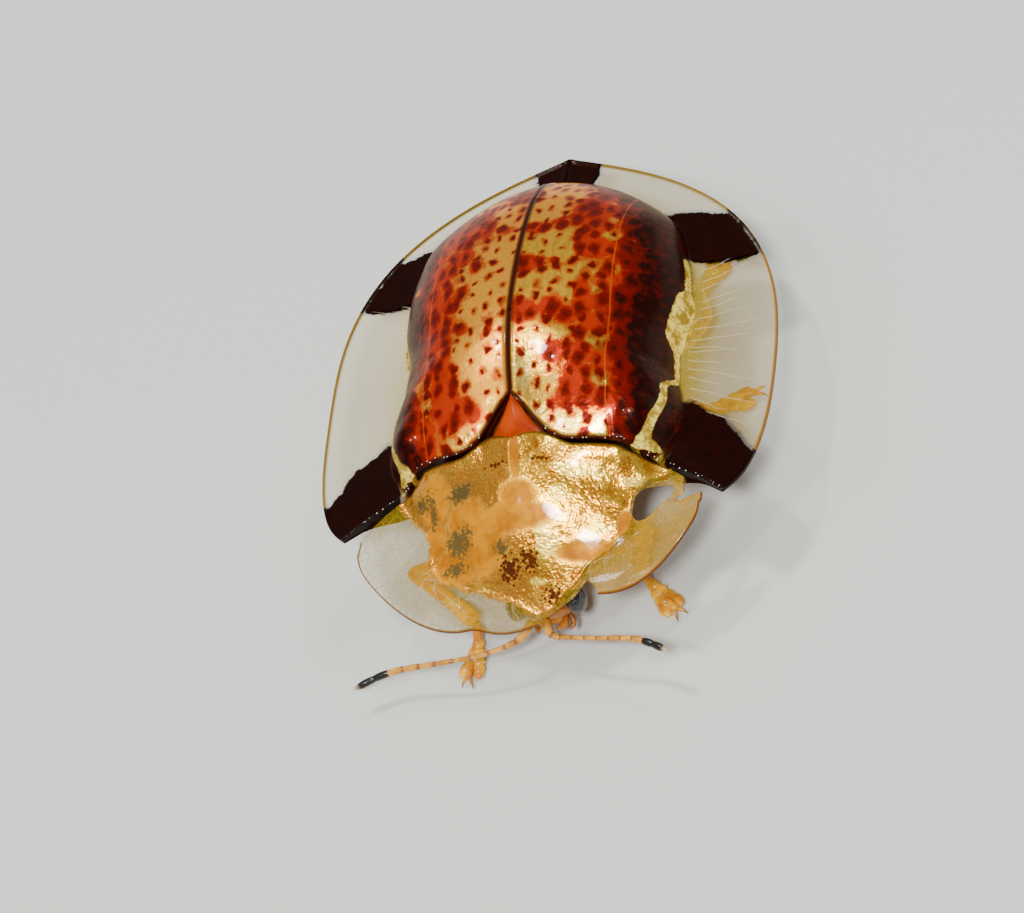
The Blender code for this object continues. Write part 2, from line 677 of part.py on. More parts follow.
def limb(name, start, end, radii, collection, finish):
    """A rounded limb whose ends stand exactly at start and end."""
    way, length = unit(end - start), np.linalg.norm(end - start)
    stops = (0.0, 0.07, 0.2, 0.5, 0.8, 0.93, 1.0)
    spread = np.interp(stops, (0.0, 0.5, 1.0), radii) * (0.55, 0.85, 1.0, 1.0, 1.0, 0.85, 0.55)
    return tube(name, [start + way * length * t for t in stops], spread, collection, finish)


def make_leg(name, collection, finish):
    root, thigh_end, shin_start, ankle, foot_start, toe = leg_points(name)
    limb(f"thigh_{name}", root, thigh_end, THIGH, collection, finish)
    limb(f"shin_{name}", shin_start, ankle, SHIN, collection, finish)


def make_foot(name, collection, cutters, finish):
    """Four short pads, the third with two lobes, a claw joint and two claws, flat on the floor."""
    root, thigh_end, shin_start, ankle, start, toe = leg_points(name)
    shin_way = unit(ankle - shin_start)
    first = start + shin_way * 0.24
    first[2] = 0.27
    way = unit(toe[:2] - first[:2])
    across = np.array([-way[1], way[0]])
    length = np.linalg.norm(toe[:2] - first[:2])
    turn = Matrix.Rotation(math.atan2(way[1], way[0]), 3, "Z")
    middle = 0.5 * FOOT_THICKNESS

    def pad(label, along, aside, size, height=middle, yaw=0.0):
        x, y = first[:2] + way * along * length + across * aside
        return ellipsoid(f"{label}_{name}", (x, y, height), size, collection,
                         turn @ Matrix.Rotation(yaw, 3, "Z"), rings=6, sides=10)

    foot = pad("foot", 0.0, 0.0, (0.27, 0.25, 0.30), first[2] + 0.02)
    foot.data.materials.append(finish)
    pads = [pad("second", 0.22, 0.0, (0.24 * length, 0.28, 0.27)),
            pad("third", 0.40, 0.0, (0.22 * length, 0.32, 0.27)),
            pad("lobe_a", 0.56, 0.17, (0.24 * length, 0.19, 0.26), yaw=0.22),
            pad("lobe_b", 0.56, -0.17, (0.24 * length, 0.19, 0.26), yaw=-0.22),
            pad("claw_joint", 0.72, 0.0, (0.24 * length, 0.13, 0.18), middle + 0.08)]
    for s in (1, -1):
        base = first[:2] + way * 0.86 * length + across * s * 0.04
        tip = first[:2] + way * length + across * s * 0.26
        mid = 0.5 * (base + tip) + way * 0.06
        claw = tube(f"claw_{s}_{name}", [(*base, 0.30), (*mid, 0.26), (*tip, 0.10)], [0.10, 0.085, 0.03],
                    collection, None, sides=1)
        pads.append(as_mesh(claw))
    foot = boolean(foot, pads, "UNION")
    corners = [tuple(first[:2] + a * way + b * across) for a, b in ((-3, -3), (3, -3), (3, 3), (-3, 3))]
    return boolean(foot, [prism(f"floor_{name}", corners, -2.0, 0.0, cutters)], "DIFFERENCE")


def make_eye(side_name, side, collection, finish):
    eye = ellipsoid(f"eye_{side_name}", (side * EYE_CENTRE[0], EYE_CENTRE[1], EYE_CENTRE[2]), EYE_SIZE, collection,
                    rings=10, sides=16)
    eye.data.materials.append(finish)
    return eye


def main():
    for obj in list(bpy.data.objects):
        bpy.data.objects.remove(obj)
    beetle = bpy.data.collections.new("tortoise_beetle")
    cutters = bpy.data.collections.new("cutters")
    cutters.hide_render = True
    for collection in (beetle, cutters):
        bpy.context.scene.collection.children.link(collection)

    wing_case = material("wing_case", (0.42, 0.09, 0.02), 0.12, 0.35)
    shield = material("shield", (0.82, 0.58, 0.22), 0.15, 0.5)
    orange = material("orange_plate", (0.55, 0.16, 0.02), 0.25)
    amber = material("amber_limb", (0.72, 0.33, 0.07), 0.3)
    straw = material("straw_feeler", (0.70, 0.42, 0.16), 0.35)
    tan = material("tan_belly", (0.60, 0.40, 0.20), 0.45)
    grey = material("grey_eye", (0.16, 0.15, 0.16), 0.2)

    make_pronotum(beetle, cutters, shield)
    make_scutellum(beetle, orange)
    for side_name, side in (("left", 1), ("right", -1)):
        make_elytron(f"elytron_{side_name}", side, beetle, wing_case)
        make_eye(side_name, side, beetle, grey)
        make_feeler(side_name, beetle, straw)
    make_thorax(beetle, tan)
    make_abdomen(beetle, tan)
    make_head(beetle, cutters, amber)
    for name in LEGS:
        make_leg(name, beetle, amber)
        make_foot(name, beetle, cutters, amber)

    middle = bpy.data.objects.new("beetle", None)
    beetle.objects.link(middle)
    middle.location = (0.0, BODY_SHIFT_Y * MM, 0.0)
    for obj in list(beetle.objects):
        if obj is not middle:
            obj.parent = middle


main()
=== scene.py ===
"""The looks of a tortoise beetle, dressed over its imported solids.

Lengths are in millimetres unless a name ends in _m. The head looks along -Y and +X is the beetle's left.
"""

import json
import math

import bmesh
import bpy
import numpy as np
from mathutils import Matrix, Vector

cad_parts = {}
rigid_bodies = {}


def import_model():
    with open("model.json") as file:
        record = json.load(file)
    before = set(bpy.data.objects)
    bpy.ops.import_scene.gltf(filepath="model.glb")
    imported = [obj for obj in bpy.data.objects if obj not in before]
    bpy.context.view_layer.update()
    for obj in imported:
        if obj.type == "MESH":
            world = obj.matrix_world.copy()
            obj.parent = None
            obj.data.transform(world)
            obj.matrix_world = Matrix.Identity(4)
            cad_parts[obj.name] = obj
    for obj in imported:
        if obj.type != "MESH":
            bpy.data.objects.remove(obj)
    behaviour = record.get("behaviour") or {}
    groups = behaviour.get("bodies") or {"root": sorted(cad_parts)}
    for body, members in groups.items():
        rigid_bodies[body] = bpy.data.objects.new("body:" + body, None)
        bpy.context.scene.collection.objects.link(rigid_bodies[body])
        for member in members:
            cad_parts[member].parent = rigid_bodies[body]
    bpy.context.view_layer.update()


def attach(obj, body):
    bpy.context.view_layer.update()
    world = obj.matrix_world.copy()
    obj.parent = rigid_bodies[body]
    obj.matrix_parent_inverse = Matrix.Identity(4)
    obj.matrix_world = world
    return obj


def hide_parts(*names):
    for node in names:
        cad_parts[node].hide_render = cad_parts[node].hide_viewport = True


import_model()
MM = 0.001


# Belly: the ring under the shield, the hind breast and five belly plates.
# Glossy tan to brown horn, finely pitted, each plate's rear edge a little proud of the next.

class Value:
    """An output of a shader node that works in ordinary arithmetic."""

    def __init__(self, paint, socket):
        self.paint = paint
        self.socket = socket

    def sum(self, operation, a, b):
        return self.paint.node("ShaderNodeMath", {"operation": operation}, {0: a, 1: b})

    def __add__(self, other):
        return self.sum("ADD", self, other)

    def __sub__(self, other):
        return self.sum("SUBTRACT", self, other)

    def __rsub__(self, other):
        return self.sum("SUBTRACT", other, self)

    def __mul__(self, other):
        return self.sum("MULTIPLY", self, other)

    def __pow__(self, other):
        return self.sum("POWER", self, other)

    __radd__ = __add__
    __rmul__ = __mul__


class Graph:
    """A node tree in the making."""

    def __init__(self, tree):
        self.tree = tree

    def plug(self, socket, value):
        if isinstance(value, Value):
            self.tree.links.new(value.socket, socket)
        elif isinstance(value, tuple) and len(value) == 3 and len(socket.default_value) == 4:
            socket.default_value = (*value, 1.0)
        else:
            socket.default_value = value

    def node(self, kind, settings, sockets, output=0):
        made = self.tree.nodes.new(kind)
        for key, value in settings.items():
            setattr(made, key, value)
        for key, value in sockets.items():
            self.plug(made.inputs[key], value)
        return Value(self, made.outputs[output])


class Paint(Graph):
    """A material in the making. Its nodes read places in millimetres and the piece's own attributes."""

    def __init__(self, name, roughness=0.3, coat=0.0, coat_roughness=0.03):
        self.material = bpy.data.materials.new(name)
        self.material.use_nodes = True
        super().__init__(self.material.node_tree)
        self.shader = self.tree.nodes["Principled BSDF"]
        self.set({"Roughness": roughness, "Coat Weight": coat, "Coat Roughness": coat_roughness})

    def set(self, sockets):
        for key, value in sockets.items():
            self.plug(self.shader.inputs[key], value)

    def read(self, attribute):
        return self.node("ShaderNodeAttribute", {"attribute_name": attribute}, {}, "Fac")

    def place(self, stretch=(1.0, 1.0, 1.0)):
        where = self.node("ShaderNodeTexCoord", {}, {}, "Object")
        scale = tuple(s / MM for s in stretch)
        return self.node("ShaderNodeVectorMath", {"operation": "MULTIPLY"}, {0: where, 1: scale})

    def noise(self, size, detail=3.0, roughness=0.55, stretch=(1.0, 1.0, 1.0)):
        """Cloudy noise from 0 to 1, its lumps about size millimetres across."""
        return self.node("ShaderNodeTexNoise", {}, {"Vector": self.place(stretch), "Scale": 1.0 / size,
                                                    "Detail": detail, "Roughness": roughness}, "Fac")

    def cells(self, size, feature="F1"):
        return self.node("ShaderNodeTexVoronoi", {"feature": feature},
                         {"Vector": self.place(), "Scale": 1.0 / size}, "Distance")

    def step(self, value, low, high):
        """0 below low, 1 above high, smooth between."""
        return self.node("ShaderNodeMapRange", {"interpolation_type": "SMOOTHSTEP"},
                         {"Value": value, "From Min": low, "From Max": high})

    def mix(self, share, a, b):
        return self.node("ShaderNodeMix", {"data_type": "RGBA"}, {0: share, 6: a, 7: b}, 2)

    def facing(self, blend):
        """0 where a surface is seen square on, 1 where it is seen edge on, for the gloss of a thin film."""
        return self.node("ShaderNodeLayerWeight", {}, {"Blend": blend}, "Facing")

    def bump(self, height, depth_mm, strength=1.0):
        made = self.node("ShaderNodeBump", {}, {"Height": height, "Distance": depth_mm * MM, "Strength": strength})
        self.set({"Normal": made})


def mesh_piece(name, points, faces, material, attributes=None, smooth=True):
    """A piece from points in millimetres, riding on the body, with its attributes on the points."""
    points = np.asarray(points, float) * MM
    faces = [np.asarray(f, int) for f in faces if len(f)]
    mesh = bpy.data.meshes.new(name)
    mesh.vertices.add(len(points))
    mesh.vertices.foreach_set("co", points.ravel())
    corners = np.concatenate([f.ravel() for f in faces])
    sizes = np.concatenate([np.full(len(f), f.shape[1]) for f in faces])
    mesh.loops.add(len(corners))
    mesh.loops.foreach_set("vertex_index", corners)
    mesh.polygons.add(len(sizes))
    mesh.polygons.foreach_set("loop_start", np.concatenate([[0], np.cumsum(sizes)[:-1]]))
    mesh.update(calc_edges=True)
    for key, values in (attributes or {}).items():
        made = mesh.attributes.new(key, "FLOAT", "POINT")
        made.data.foreach_set("value", np.asarray(values, float))
    if smooth:
        mesh.shade_smooth()
    return finish_piece(name, mesh, material)


def finish_piece(name, mesh, material):
    piece = bpy.data.objects.new(name, mesh)
    bpy.context.scene.collection.objects.link(piece)
    mesh.materials.clear()
    mesh.materials.append(material)
    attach(piece, "root")
    return piece


def grid_quads(rows, columns, closed=False):
    r, c = np.meshgrid(np.arange(rows - 1), np.arange(columns if closed else columns - 1), indexing="ij")
    a = r * columns + c
    b = r * columns + (c + 1) % columns
    return np.stack([a, b, b + columns, a + columns], axis=-1).reshape(-1, 4)


def smooth_line(points, count):
    """Points on a natural cubic spline through the given ones."""
    p = np.array(points, float)
    chord = np.concatenate([[0], np.cumsum(np.sqrt(np.linalg.norm(np.diff(p, axis=0), axis=1)))])
    n, h = len(p), np.diff(chord)
    system, right = np.eye(n), np.zeros_like(p)
    for i in range(1, n - 1):
        system[i, i - 1:i + 2] = h[i - 1], 2 * (h[i - 1] + h[i]), h[i]
        right[i] = 6 * ((p[i + 1] - p[i]) / h[i] - (p[i] - p[i - 1]) / h[i - 1])
    bend = np.linalg.solve(system, right)
    at = np.linspace(0, chord[-1], count)
    i = np.clip(np.searchsorted(chord, at, side="right") - 1, 0, n - 2)
    a, b, w = (chord[i + 1] - at)[:, None], (at - chord[i])[:, None], h[i][:, None]
    return ((bend[i] * a ** 3 + bend[i + 1] * b ** 3) / (6 * w)
            + (p[i] / w - bend[i] * w / 6) * a + (p[i + 1] / w - bend[i + 1] * w / 6) * b)


def closed_loft(sections):
    """Points and faces of a closed body through rings of equal size."""
    rings, count = len(sections), len(sections[0])
    points = np.concatenate([np.concatenate(sections), [np.mean(sections[0], axis=0)],
                             [np.mean(sections[-1], axis=0)]])
    c = np.arange(count)
    n = (c + 1) % count
    first = np.stack([n, c, np.full(count, rings * count)], axis=-1)
    last = np.stack([c, n, np.full(count, rings * count + 1)], axis=-1)
    last[:, :2] += (rings - 1) * count
    return points, [grid_quads(rings, count, closed=True), first, last]


EDGE_CLEARANCE = 1.9
BODY_SHIFT_Y = 0.46
BELLY = EDGE_CLEARANCE - 0.82


def in_part(points):
    """Moves points from the beetle's own middle to the part's frame."""
    return np.asarray(points, float) + (0.0, BODY_SHIFT_Y, 0.0)


horn = Paint("belly_horn", roughness=0.32, coat=0.5, coat_roughness=0.12)
blush = horn.noise(0.9, 4.0)
seam = horn.read("seam")
tone = horn.mix(horn.step(blush, 0.35, 0.7), (0.26, 0.085, 0.014), (0.48, 0.19, 0.035))
horn.set({"Base Color": horn.mix(seam, tone, (0.09, 0.025, 0.008))})
horn.bump(horn.cells(0.16) + blush * 0.4, 0.02, 0.7)


def horn_ring(y, half_width, top, bottom, middle, count=72):
    a = 2 * math.pi * np.arange(count) / count
    c, s = np.cos(a), np.sin(a)
    reach = np.where(s > 0, top - middle, middle - bottom)
    return np.stack([half_width * np.sign(c) * np.abs(c) ** 0.88, np.full(count, y),
                     middle + reach * np.sign(s) * np.abs(s) ** 0.88], axis=-1)


def body_half_width(y):
    return 2.58 * math.sqrt(max(0.0, 1 - ((y - 0.3) / 4.78) ** 2))


def horn_piece(name, rings, seams, nodes):
    points, faces = closed_loft(rings)
    shade = np.concatenate([np.repeat(seams, len(rings[0])), [0.0, 0.0]])
    piece = mesh_piece(name, in_part(points), faces, horn.material, {"seam": shade})
    work = bmesh.new()
    work.from_mesh(piece.data)
    bmesh.ops.recalc_face_normals(work, faces=work.faces)
    work.to_mesh(piece.data)
    work.free()
    if nodes:
        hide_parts(*nodes)
    return piece


def make_breast():
    rings, seams = [], []
    for y in np.linspace(-2.86, 0.57, 40):
        width = body_half_width(y) * min(1.0, 0.80 + 0.14 * (y + 2.71))
        groove = 0.05 * math.exp(-((y + 0.95) / 0.06) ** 2) + 0.08 * math.exp(-((y - 0.57) / 0.08) ** 2)
        top = min(4.05 + 0.05 * y, 4.05) - 0.25 * max(0.0, -2.0 - y)
        ring = horn_ring(y, width - groove, top, BELLY - 0.10 * math.sin(math.pi * (y + 2.86) / 3.43) + groove,
                         EDGE_CLEARANCE + 0.35)
        under = ring[:, 2] < EDGE_CLEARANCE + 0.2
        ring[under, 2] += 0.07 * np.exp(-(ring[under, 0] / 0.05) ** 2)
        rings.append(ring)
        seams.append(min(1.0, 12 * groove))
    return horn_piece("hind_breast", rings, seams, ["thorax"])


def make_belly_plates():
    first, last, plates = 0.57, 4.92, 5
    edges = first + (last - first) * np.linspace(0, 1, plates + 1) ** 0.92
    rings, seams = [], []
    for k in range(plates):
        for share in np.linspace(0.0, 0.98, 12):
            y = edges[k] + (edges[k + 1] - edges[k]) * share
            t = (y - first) / (last - first)
            proud = 0.09 * (share ** 2 - 0.5)
            middle = EDGE_CLEARANCE + 0.35 - 0.1 * t
            bottom = min(BELLY + 1.05 * t ** 2.2 - proud, middle - 0.12)
            top = max(4.05 - 0.16 * (y - 0.5) ** 1.6, middle + 0.12)
            rings.append(horn_ring(y, max(body_half_width(y) + proud, 0.25), top, bottom, middle))
            seams.append(1.0 if share < 0.1 or share > 0.95 else 0.0)
    return horn_piece("belly_plates", rings, seams, ["abdomen"])


breast = make_breast()
belly_plates = make_belly_plates()


# Legs: hip joint, thigh, shin and a foot of broad, hair-soled pads that ends in two claws.
# Amber horn, clear enough at the edges to glow, with brown claws. One skin runs from hip to foot.

HIPS = {"front": (0.62, -4.30, BELLY + 0.06), "middle": (0.82, -1.75, BELLY + 0.06), "hind": (0.88, 0.02, BELLY + 0.06)}
LEGS = {
    "front_right": ((-3.72, -4.05, -0.74), (-2.10, -5.36, -1.26), (-2.42, -6.80)),
    "front_left": ((2.35, -3.70, -0.66), (1.90, -4.42, -1.26), (2.90, -5.62)),
    "middle_right": ((-3.15, -2.05, -0.76), (-3.45, -0.55, -1.26), (-4.70, 0.40)),
    "middle_left": ((3.10, -1.75, -0.76), (2.95, -0.05, -1.26), (4.65, 0.46)),
    "hind_right": ((-3.50, 1.75, -0.76), (-2.95, 3.25, -1.26), (-3.75, 4.40)),
    "hind_left": ((3.38, 1.95, -0.76), (2.75, 3.40, -1.26), (3.40, 4.62)),
}

amber = Paint("amber_limb", roughness=0.28, coat=0.5, coat_roughness=0.08)
amber.set({"Specular IOR Level": 0.15})
amber.set({"Subsurface Weight": 0.25, "Subsurface Radius": (0.0006, 0.00025, 0.00008), "Subsurface Scale": 1.0})
dark = amber.read("dark")
warmth = amber.noise(0.35, 4.0)
limb_tone = amber.mix(amber.step(warmth, 0.3, 0.75), (0.50, 0.13, 0.003), (1.0, 0.47, 0.006))
amber.set({"Base Color": amber.mix(dark, limb_tone, (0.035, 0.007, 0.002))})
amber.bump(warmth + amber.cells(0.07) * 0.3, 0.015, 0.6)


def unit(v):
    v = np.asarray(v, float)
    return v / np.linalg.norm(v)


def tube_rings(path, radii, sides=20, flat=1.0):
    """Rings along a path, square to it, with up kept as level as it can be; flat squeezes their height."""
    path = np.asarray(path, float)
    way = np.gradient(path, axis=0)
    way /= np.linalg.norm(way, axis=1)[:, None]
    across = np.cross(way, (0.0, 0.0, 1.0))
    across /= np.linalg.norm(across, axis=1)[:, None]
    up = np.cross(across, way)
    a = 2 * math.pi * np.arange(sides) / sides
    spread = across[:, None] * np.cos(a)[None, :, None] + up[:, None] * np.sin(a)[None, :, None] * flat
    return path[:, None] + spread * np.asarray(radii, float)[:, None, None]


def limb(path_points, radius_knots, count=28, sides=20, flat=1.0):
    """A closed limb on a smooth path, its radius read from (share, radius) knots."""
    path = smooth_line(path_points, count)
    share = np.linspace(0, 1, count)
    share[1:-1] = 0.5 - 0.5 * np.cos(math.pi * share[1:-1])
    keys = np.linspace(0, 1, count)
    path = np.stack([np.interp(share, keys, path[:, k]) for k in range(3)], axis=1)
    knots = np.array(radius_knots)
    radii = np.interp(share, knots[:, 0], knots[:, 1])
    points, faces = closed_loft(list(tube_rings(path, radii, sides, flat)))
    return points, faces, np.concatenate([np.repeat(share, sides), [0.0, 1.0]])


def ellipsoid(centre, size, turn=None, rings=16, sides=24):
    """A closed ball stretched to size, optionally turned by a 3 by 3 matrix."""
    v = np.linspace(0.02, math.pi - 0.02, rings)
    a = 2 * math.pi * np.arange(sides) / sides
    ring = np.stack([np.sin(v)[:, None] * np.cos(a), np.sin(v)[:, None] * np.sin(a),
                     np.repeat(np.cos(v)[:, None], sides, axis=1)], axis=-1) * size
    if turn is not None:
        ring = ring @ np.array(turn).T
    points, faces = closed_loft(list(ring + centre))
    return points, [f[:, ::-1] for f in faces]


class Heap:
    """Gathers closed shapes and their attribute values into one piece."""

    def __init__(self):
        self.points, self.faces, self.values, self.count = [], {3: [], 4: []}, [], 0
        self.hair = []

    def add(self, shape, value=0.0, hair=0.0):
        points, faces = shape[0], shape[1]
        for f in faces:
            self.faces[f.shape[1]].append(f + self.count)
        self.points.append(points)
        self.values.append(np.broadcast_to(value, len(points)))
        self.hair.append(np.broadcast_to(hair, len(points)))
        self.count += len(points)

    def piece(self, name, material, slot, key):
        faces = [np.concatenate(f) for f in self.faces.values() if f]
        values = np.concatenate(self.values)
        values = {key: values, "hairy": np.concatenate(self.hair)}
        made = mesh_piece(name, in_part(np.concatenate(self.points)), faces, material, values)
        work = bmesh.new()
        work.from_mesh(made.data)
        bmesh.ops.recalc_face_normals(work, faces=work.faces)
        work.to_mesh(made.data)
        work.free()
        return made


class Growth(Graph):
    """A Geometry Nodes tree with named inputs that turns one mesh into another."""

    def __init__(self, name, inputs):
        super().__init__(bpy.data.node_groups.new(name, "GeometryNodeTree"))
        face = self.tree.interface
        face.new_socket("Geometry", in_out="INPUT", socket_type="NodeSocketGeometry")
        for key, (kind, value) in inputs.items():
            face.new_socket(key, in_out="INPUT", socket_type=f"NodeSocket{kind}").default_value = value
        face.new_socket("Geometry", in_out="OUTPUT", socket_type="NodeSocketGeometry")
        self.source = self.tree.nodes.new("NodeGroupInput")

    def given(self, key):
        return Value(self, self.source.outputs[key])

    def end(self, shapes, material):
        real = self.node("GeometryNodeRealizeInstances", {}, {"Geometry": shapes})
        dressed = self.node("GeometryNodeSetMaterial", {}, {"Geometry": real, "Material": material})
        self.plug(self.tree.nodes.new("NodeGroupOutput").inputs[0], dressed)

    def grow(self, mesh, values):
        """The plain mesh that the tree makes from a mesh."""
        host = bpy.data.objects.new("host", mesh)
        bpy.context.scene.collection.objects.link(host)
        run = host.modifiers.new("Growth", "NODES")
        run.node_group = self.tree
        for item in self.tree.interface.items_tree:
            if item.in_out == "INPUT" and item.name in values:
                run[item.identifier] = values[item.name]
        graph = bpy.context.evaluated_depsgraph_get()
        made = bpy.data.meshes.new_from_object(host.evaluated_get(graph), depsgraph=graph)
        bpy.data.objects.remove(host)
        return made


bristle = Paint("pale_bristle", roughness=0.4)
bristle.set({"Base Color": bristle.mix(bristle.noise(0.2), (0.62, 0.30, 0.05), (0.95, 0.66, 0.26))})


def bristle_tree():
    """Short tapered bristles, as many as the attribute hairy asks for, leaning a little each its own way."""
    tree = Growth("bristles", {"Per square metre": ("Float", 3.0e8), "Length": ("Float", 0.085 * MM),
                               "Root radius": ("Float", 0.006 * MM), "Lean": ("Float", 0.6), "Seed": ("Int", 11)})
    thick = tree.node("GeometryNodeInputNamedAttribute", {"data_type": "FLOAT"}, {"Name": "hairy"}, "Attribute")
    spread = tree.tree.nodes.new("GeometryNodeDistributePointsOnFaces")
    for key, value in (("Mesh", tree.given("Geometry")), ("Density", thick * tree.given("Per square metre")),
                       ("Seed", tree.given("Seed"))):
        tree.plug(spread.inputs[key], value)
    cone = tree.node("GeometryNodeMeshCone", {"fill_type": "TRIANGLE_FAN"},
                     {"Vertices": 5, "Radius Top": 0.0, "Radius Bottom": tree.given("Root radius"),
                      "Depth": tree.given("Length")})
    lean = tree.node("ShaderNodeCombineXYZ", {}, {"X": tree.given("Lean"), "Y": tree.given("Lean"), "Z": 0.0})
    back = tree.node("ShaderNodeVectorMath", {"operation": "SCALE"}, {0: lean, "Scale": -1.0})
    tilt = tree.node("FunctionNodeRandomValue", {"data_type": "FLOAT_VECTOR"}, {0: back, 1: lean}, 0)
    size = tree.node("FunctionNodeRandomValue", {"data_type": "FLOAT"}, {2: 0.5, 3: 1.3}, 1)
    stand = tree.node("GeometryNodeInstanceOnPoints", {},
                      {"Points": Value(tree, spread.outputs["Points"]), "Instance": cone,
                       "Rotation": Value(tree, spread.outputs["Rotation"]), "Scale": size})
    stand = tree.node("GeometryNodeRotateInstances", {}, {"Instances": stand, "Rotation": tilt})
    tree.end(stand, bristle.material)
    return tree


bristles = bristle_tree()


def make_leg(name):
    which, side_name = name.split("_")
    side = 1 if side_name == "left" else -1
    hip = np.array(HIPS[which]) * (side, 1, 1)
    knee, ankle = (np.array(p) + (0, 0, EDGE_CLEARANCE) for p in LEGS[name][:2])
    toe = np.array([*LEGS[name][2], 0.0])
    out = unit((knee - hip) * (1, 1, 0))
    heap = Heap()
    heap.add(ellipsoid(hip + out * 0.12 + (0, 0, -0.05), (0.42, 0.40, 0.40)))
    start = hip + out * 0.45 + (0, 0, -0.15)
    heap.add(ellipsoid(start, (0.22, 0.22, 0.20)))
    middle = 0.5 * (start + knee) + (0, 0, 0.06)
    heap.add(limb([start, middle, knee], [(0, 0.12), (0.08, 0.20), (0.3, 0.26), (0.6, 0.30), (0.85, 0.24),
                                          (0.96, 0.15), (1, 0.06)], 32, 22, 0.85), 0.0, 0.04)
    bow = 0.5 * (knee + ankle) + unit(np.cross(ankle - knee, (0, 0, 1))) * 0.05 * side
    heap.add(limb([knee, bow, ankle], [(0, 0.07), (0.07, 0.15), (0.3, 0.17), (0.7, 0.21), (0.93, 0.24),
                                       (1, 0.12)], 28, 20, 0.9), 0.0, 0.12)
    way = unit((toe - ankle) * (1, 1, 0))
    across = np.array([-way[1], way[0], 0.0])
    length = np.linalg.norm((toe - ankle)[:2])
    turn = np.stack([way, across, (0, 0, 1)], axis=1)

    def spot(along, aside, height):
        return np.array([*ankle[:2], 0.0]) + way * along * length + across * aside + (0, 0, height)

    heap.add(limb([ankle, spot(0.10, 0, 0.42), spot(0.20, 0, 0.30)], [(0, 0.08), (0.3, 0.14), (1, 0.10)], 12, 16))
    pads = ((0.24, 0.0, 0.20, 0.15, 0.15, 0.22), (0.38, 0.0, 0.20, 0.22, 0.13, 0.17),
            (0.52, 0.0, 0.20, 0.27, 0.12, 0.15), (0.66, 0.17, 0.25, 0.15, 0.085, 0.11),
            (0.66, -0.17, 0.25, 0.15, 0.085, 0.11), (0.57, 0.0, 0.22, 0.26, 0.10, 0.13))
    for along, aside, long, wide, high, level in pads:
        yaw = 0.9 * aside
        skew = np.array([[math.cos(yaw), -math.sin(yaw), 0], [math.sin(yaw), math.cos(yaw), 0], [0, 0, 1]])
        pad = ellipsoid(spot(along, aside, max(level, high)), (long, wide, high), turn @ skew, 14, 22)
        heap.add(pad, 0.0, np.where(pad[0][:, 2] < max(level, high) + 0.3 * high, 1.0, 0.12))
    heap.add(limb([spot(0.58, 0, 0.22), spot(0.72, 0, 0.25), spot(0.86, 0, 0.20)],
                  [(0, 0.05), (0.5, 0.08), (0.9, 0.09), (1, 0.05)], 12, 14))
    for s in (1, -1):
        claw = limb([spot(0.84, s * 0.03, 0.20), spot(0.92, s * 0.10, 0.18), spot(0.98, s * 0.15, 0.05)],
                    [(0, 0.045), (0.4, 0.038), (1, 0.006)], 14, 10)
        heap.add(claw, np.clip(claw[2] * 1.6 - 0.5, 0, 1))
    piece = heap.piece(f"leg_{name}", amber.material, "amber_limb", "dark")
    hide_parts(f"thigh_{name}", f"shin_{name}", f"foot_{name}")
    hair = bristles.grow(piece.data, {"Seed": 11 + list(LEGS).index(name)})
    ends = np.empty(3 * len(hair.vertices))
    hair.vertices.foreach_get("co", ends)
    ends[2::3] = np.maximum(ends[2::3], 0.0)
    hair.vertices.foreach_set("co", ends)
    finish_piece(f"bristles_{name}", hair, bristle.material)
    return piece


legs = {name: make_leg(name) for name in LEGS}

# Head, eyes and feelers: a short red-brown head tucked under the shield, with dark grained eyes.
# Each feeler has eleven links, straw to amber, and the last two are black with a pale tip.

head_horn = Paint("head_horn", roughness=0.3, coat=0.3, coat_roughness=0.08)
head_horn.set({"Specular IOR Level": 0.15})
mottle = head_horn.noise(0.3, 4.0)
head_horn.set({"Base Color": head_horn.mix(head_horn.step(mottle, 0.3, 0.7), (0.18, 0.036, 0.001), (0.46, 0.15, 0.005))})
head_horn.bump(mottle + head_horn.cells(0.09) * 0.5, 0.02, 0.6)
HEAD_SIZE = (0.78, 0.42, 0.50)
HEAD = np.array([0.0, -4.85 - 0.30 - HEAD_SIZE[1], EDGE_CLEARANCE - 0.45])

head = Heap()
head.add(ellipsoid(HEAD, HEAD_SIZE, rings=28, sides=40))
head.add(ellipsoid(HEAD + (0, 0.35, -0.02), (0.62, 0.45, 0.42)))
head.add(ellipsoid(HEAD + (0, -0.16, 0.10), (0.42, 0.32, 0.34)))
head.add(ellipsoid(HEAD + (0, -0.18, -0.34), (0.34, 0.25, 0.22)))
for s in (1, -1):
    head.add(limb([HEAD + (s * 0.22, -0.14, -0.42), HEAD + (s * 0.24, -0.30, -0.58), HEAD + (s * 0.05, -0.38, -0.62)],
                  [(0, 0.14), (0.5, 0.11), (1, 0.03)], 14, 14))
    head.add(limb([HEAD + (s * 0.34, -0.05, -0.42), HEAD + (s * 0.46, -0.22, -0.60), HEAD + (s * 0.40, -0.42, -0.66)],
                  [(0, 0.05), (0.4, 0.06), (0.8, 0.06), (1, 0.02)], 14, 10))
head_piece = head.piece("head_capsule", head_horn.material, "orange_plate", "dark")
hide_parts("head")

facets = Paint("eye_facets", roughness=0.22, coat=0.5)
facets.set({"Base Color": facets.mix(facets.step(facets.cells(0.055), 0.2, 0.6), (0.020, 0.016, 0.016), (0.006, 0.004, 0.004))})
facets.bump(1 - facets.cells(0.055), 0.02, 0.8)
for side_name, side in (("left", 1), ("right", -1)):
    eye = Heap()
    eye.add(ellipsoid(np.array([side * 0.74, -5.64, EDGE_CLEARANCE - 0.40]), (0.24, 0.34, 0.36), rings=28, sides=36))
    eye_piece = eye.piece(f"eye_{side_name}_facets", facets.material, "grey_eye", "dark")
    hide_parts(f"eye_{side_name}")

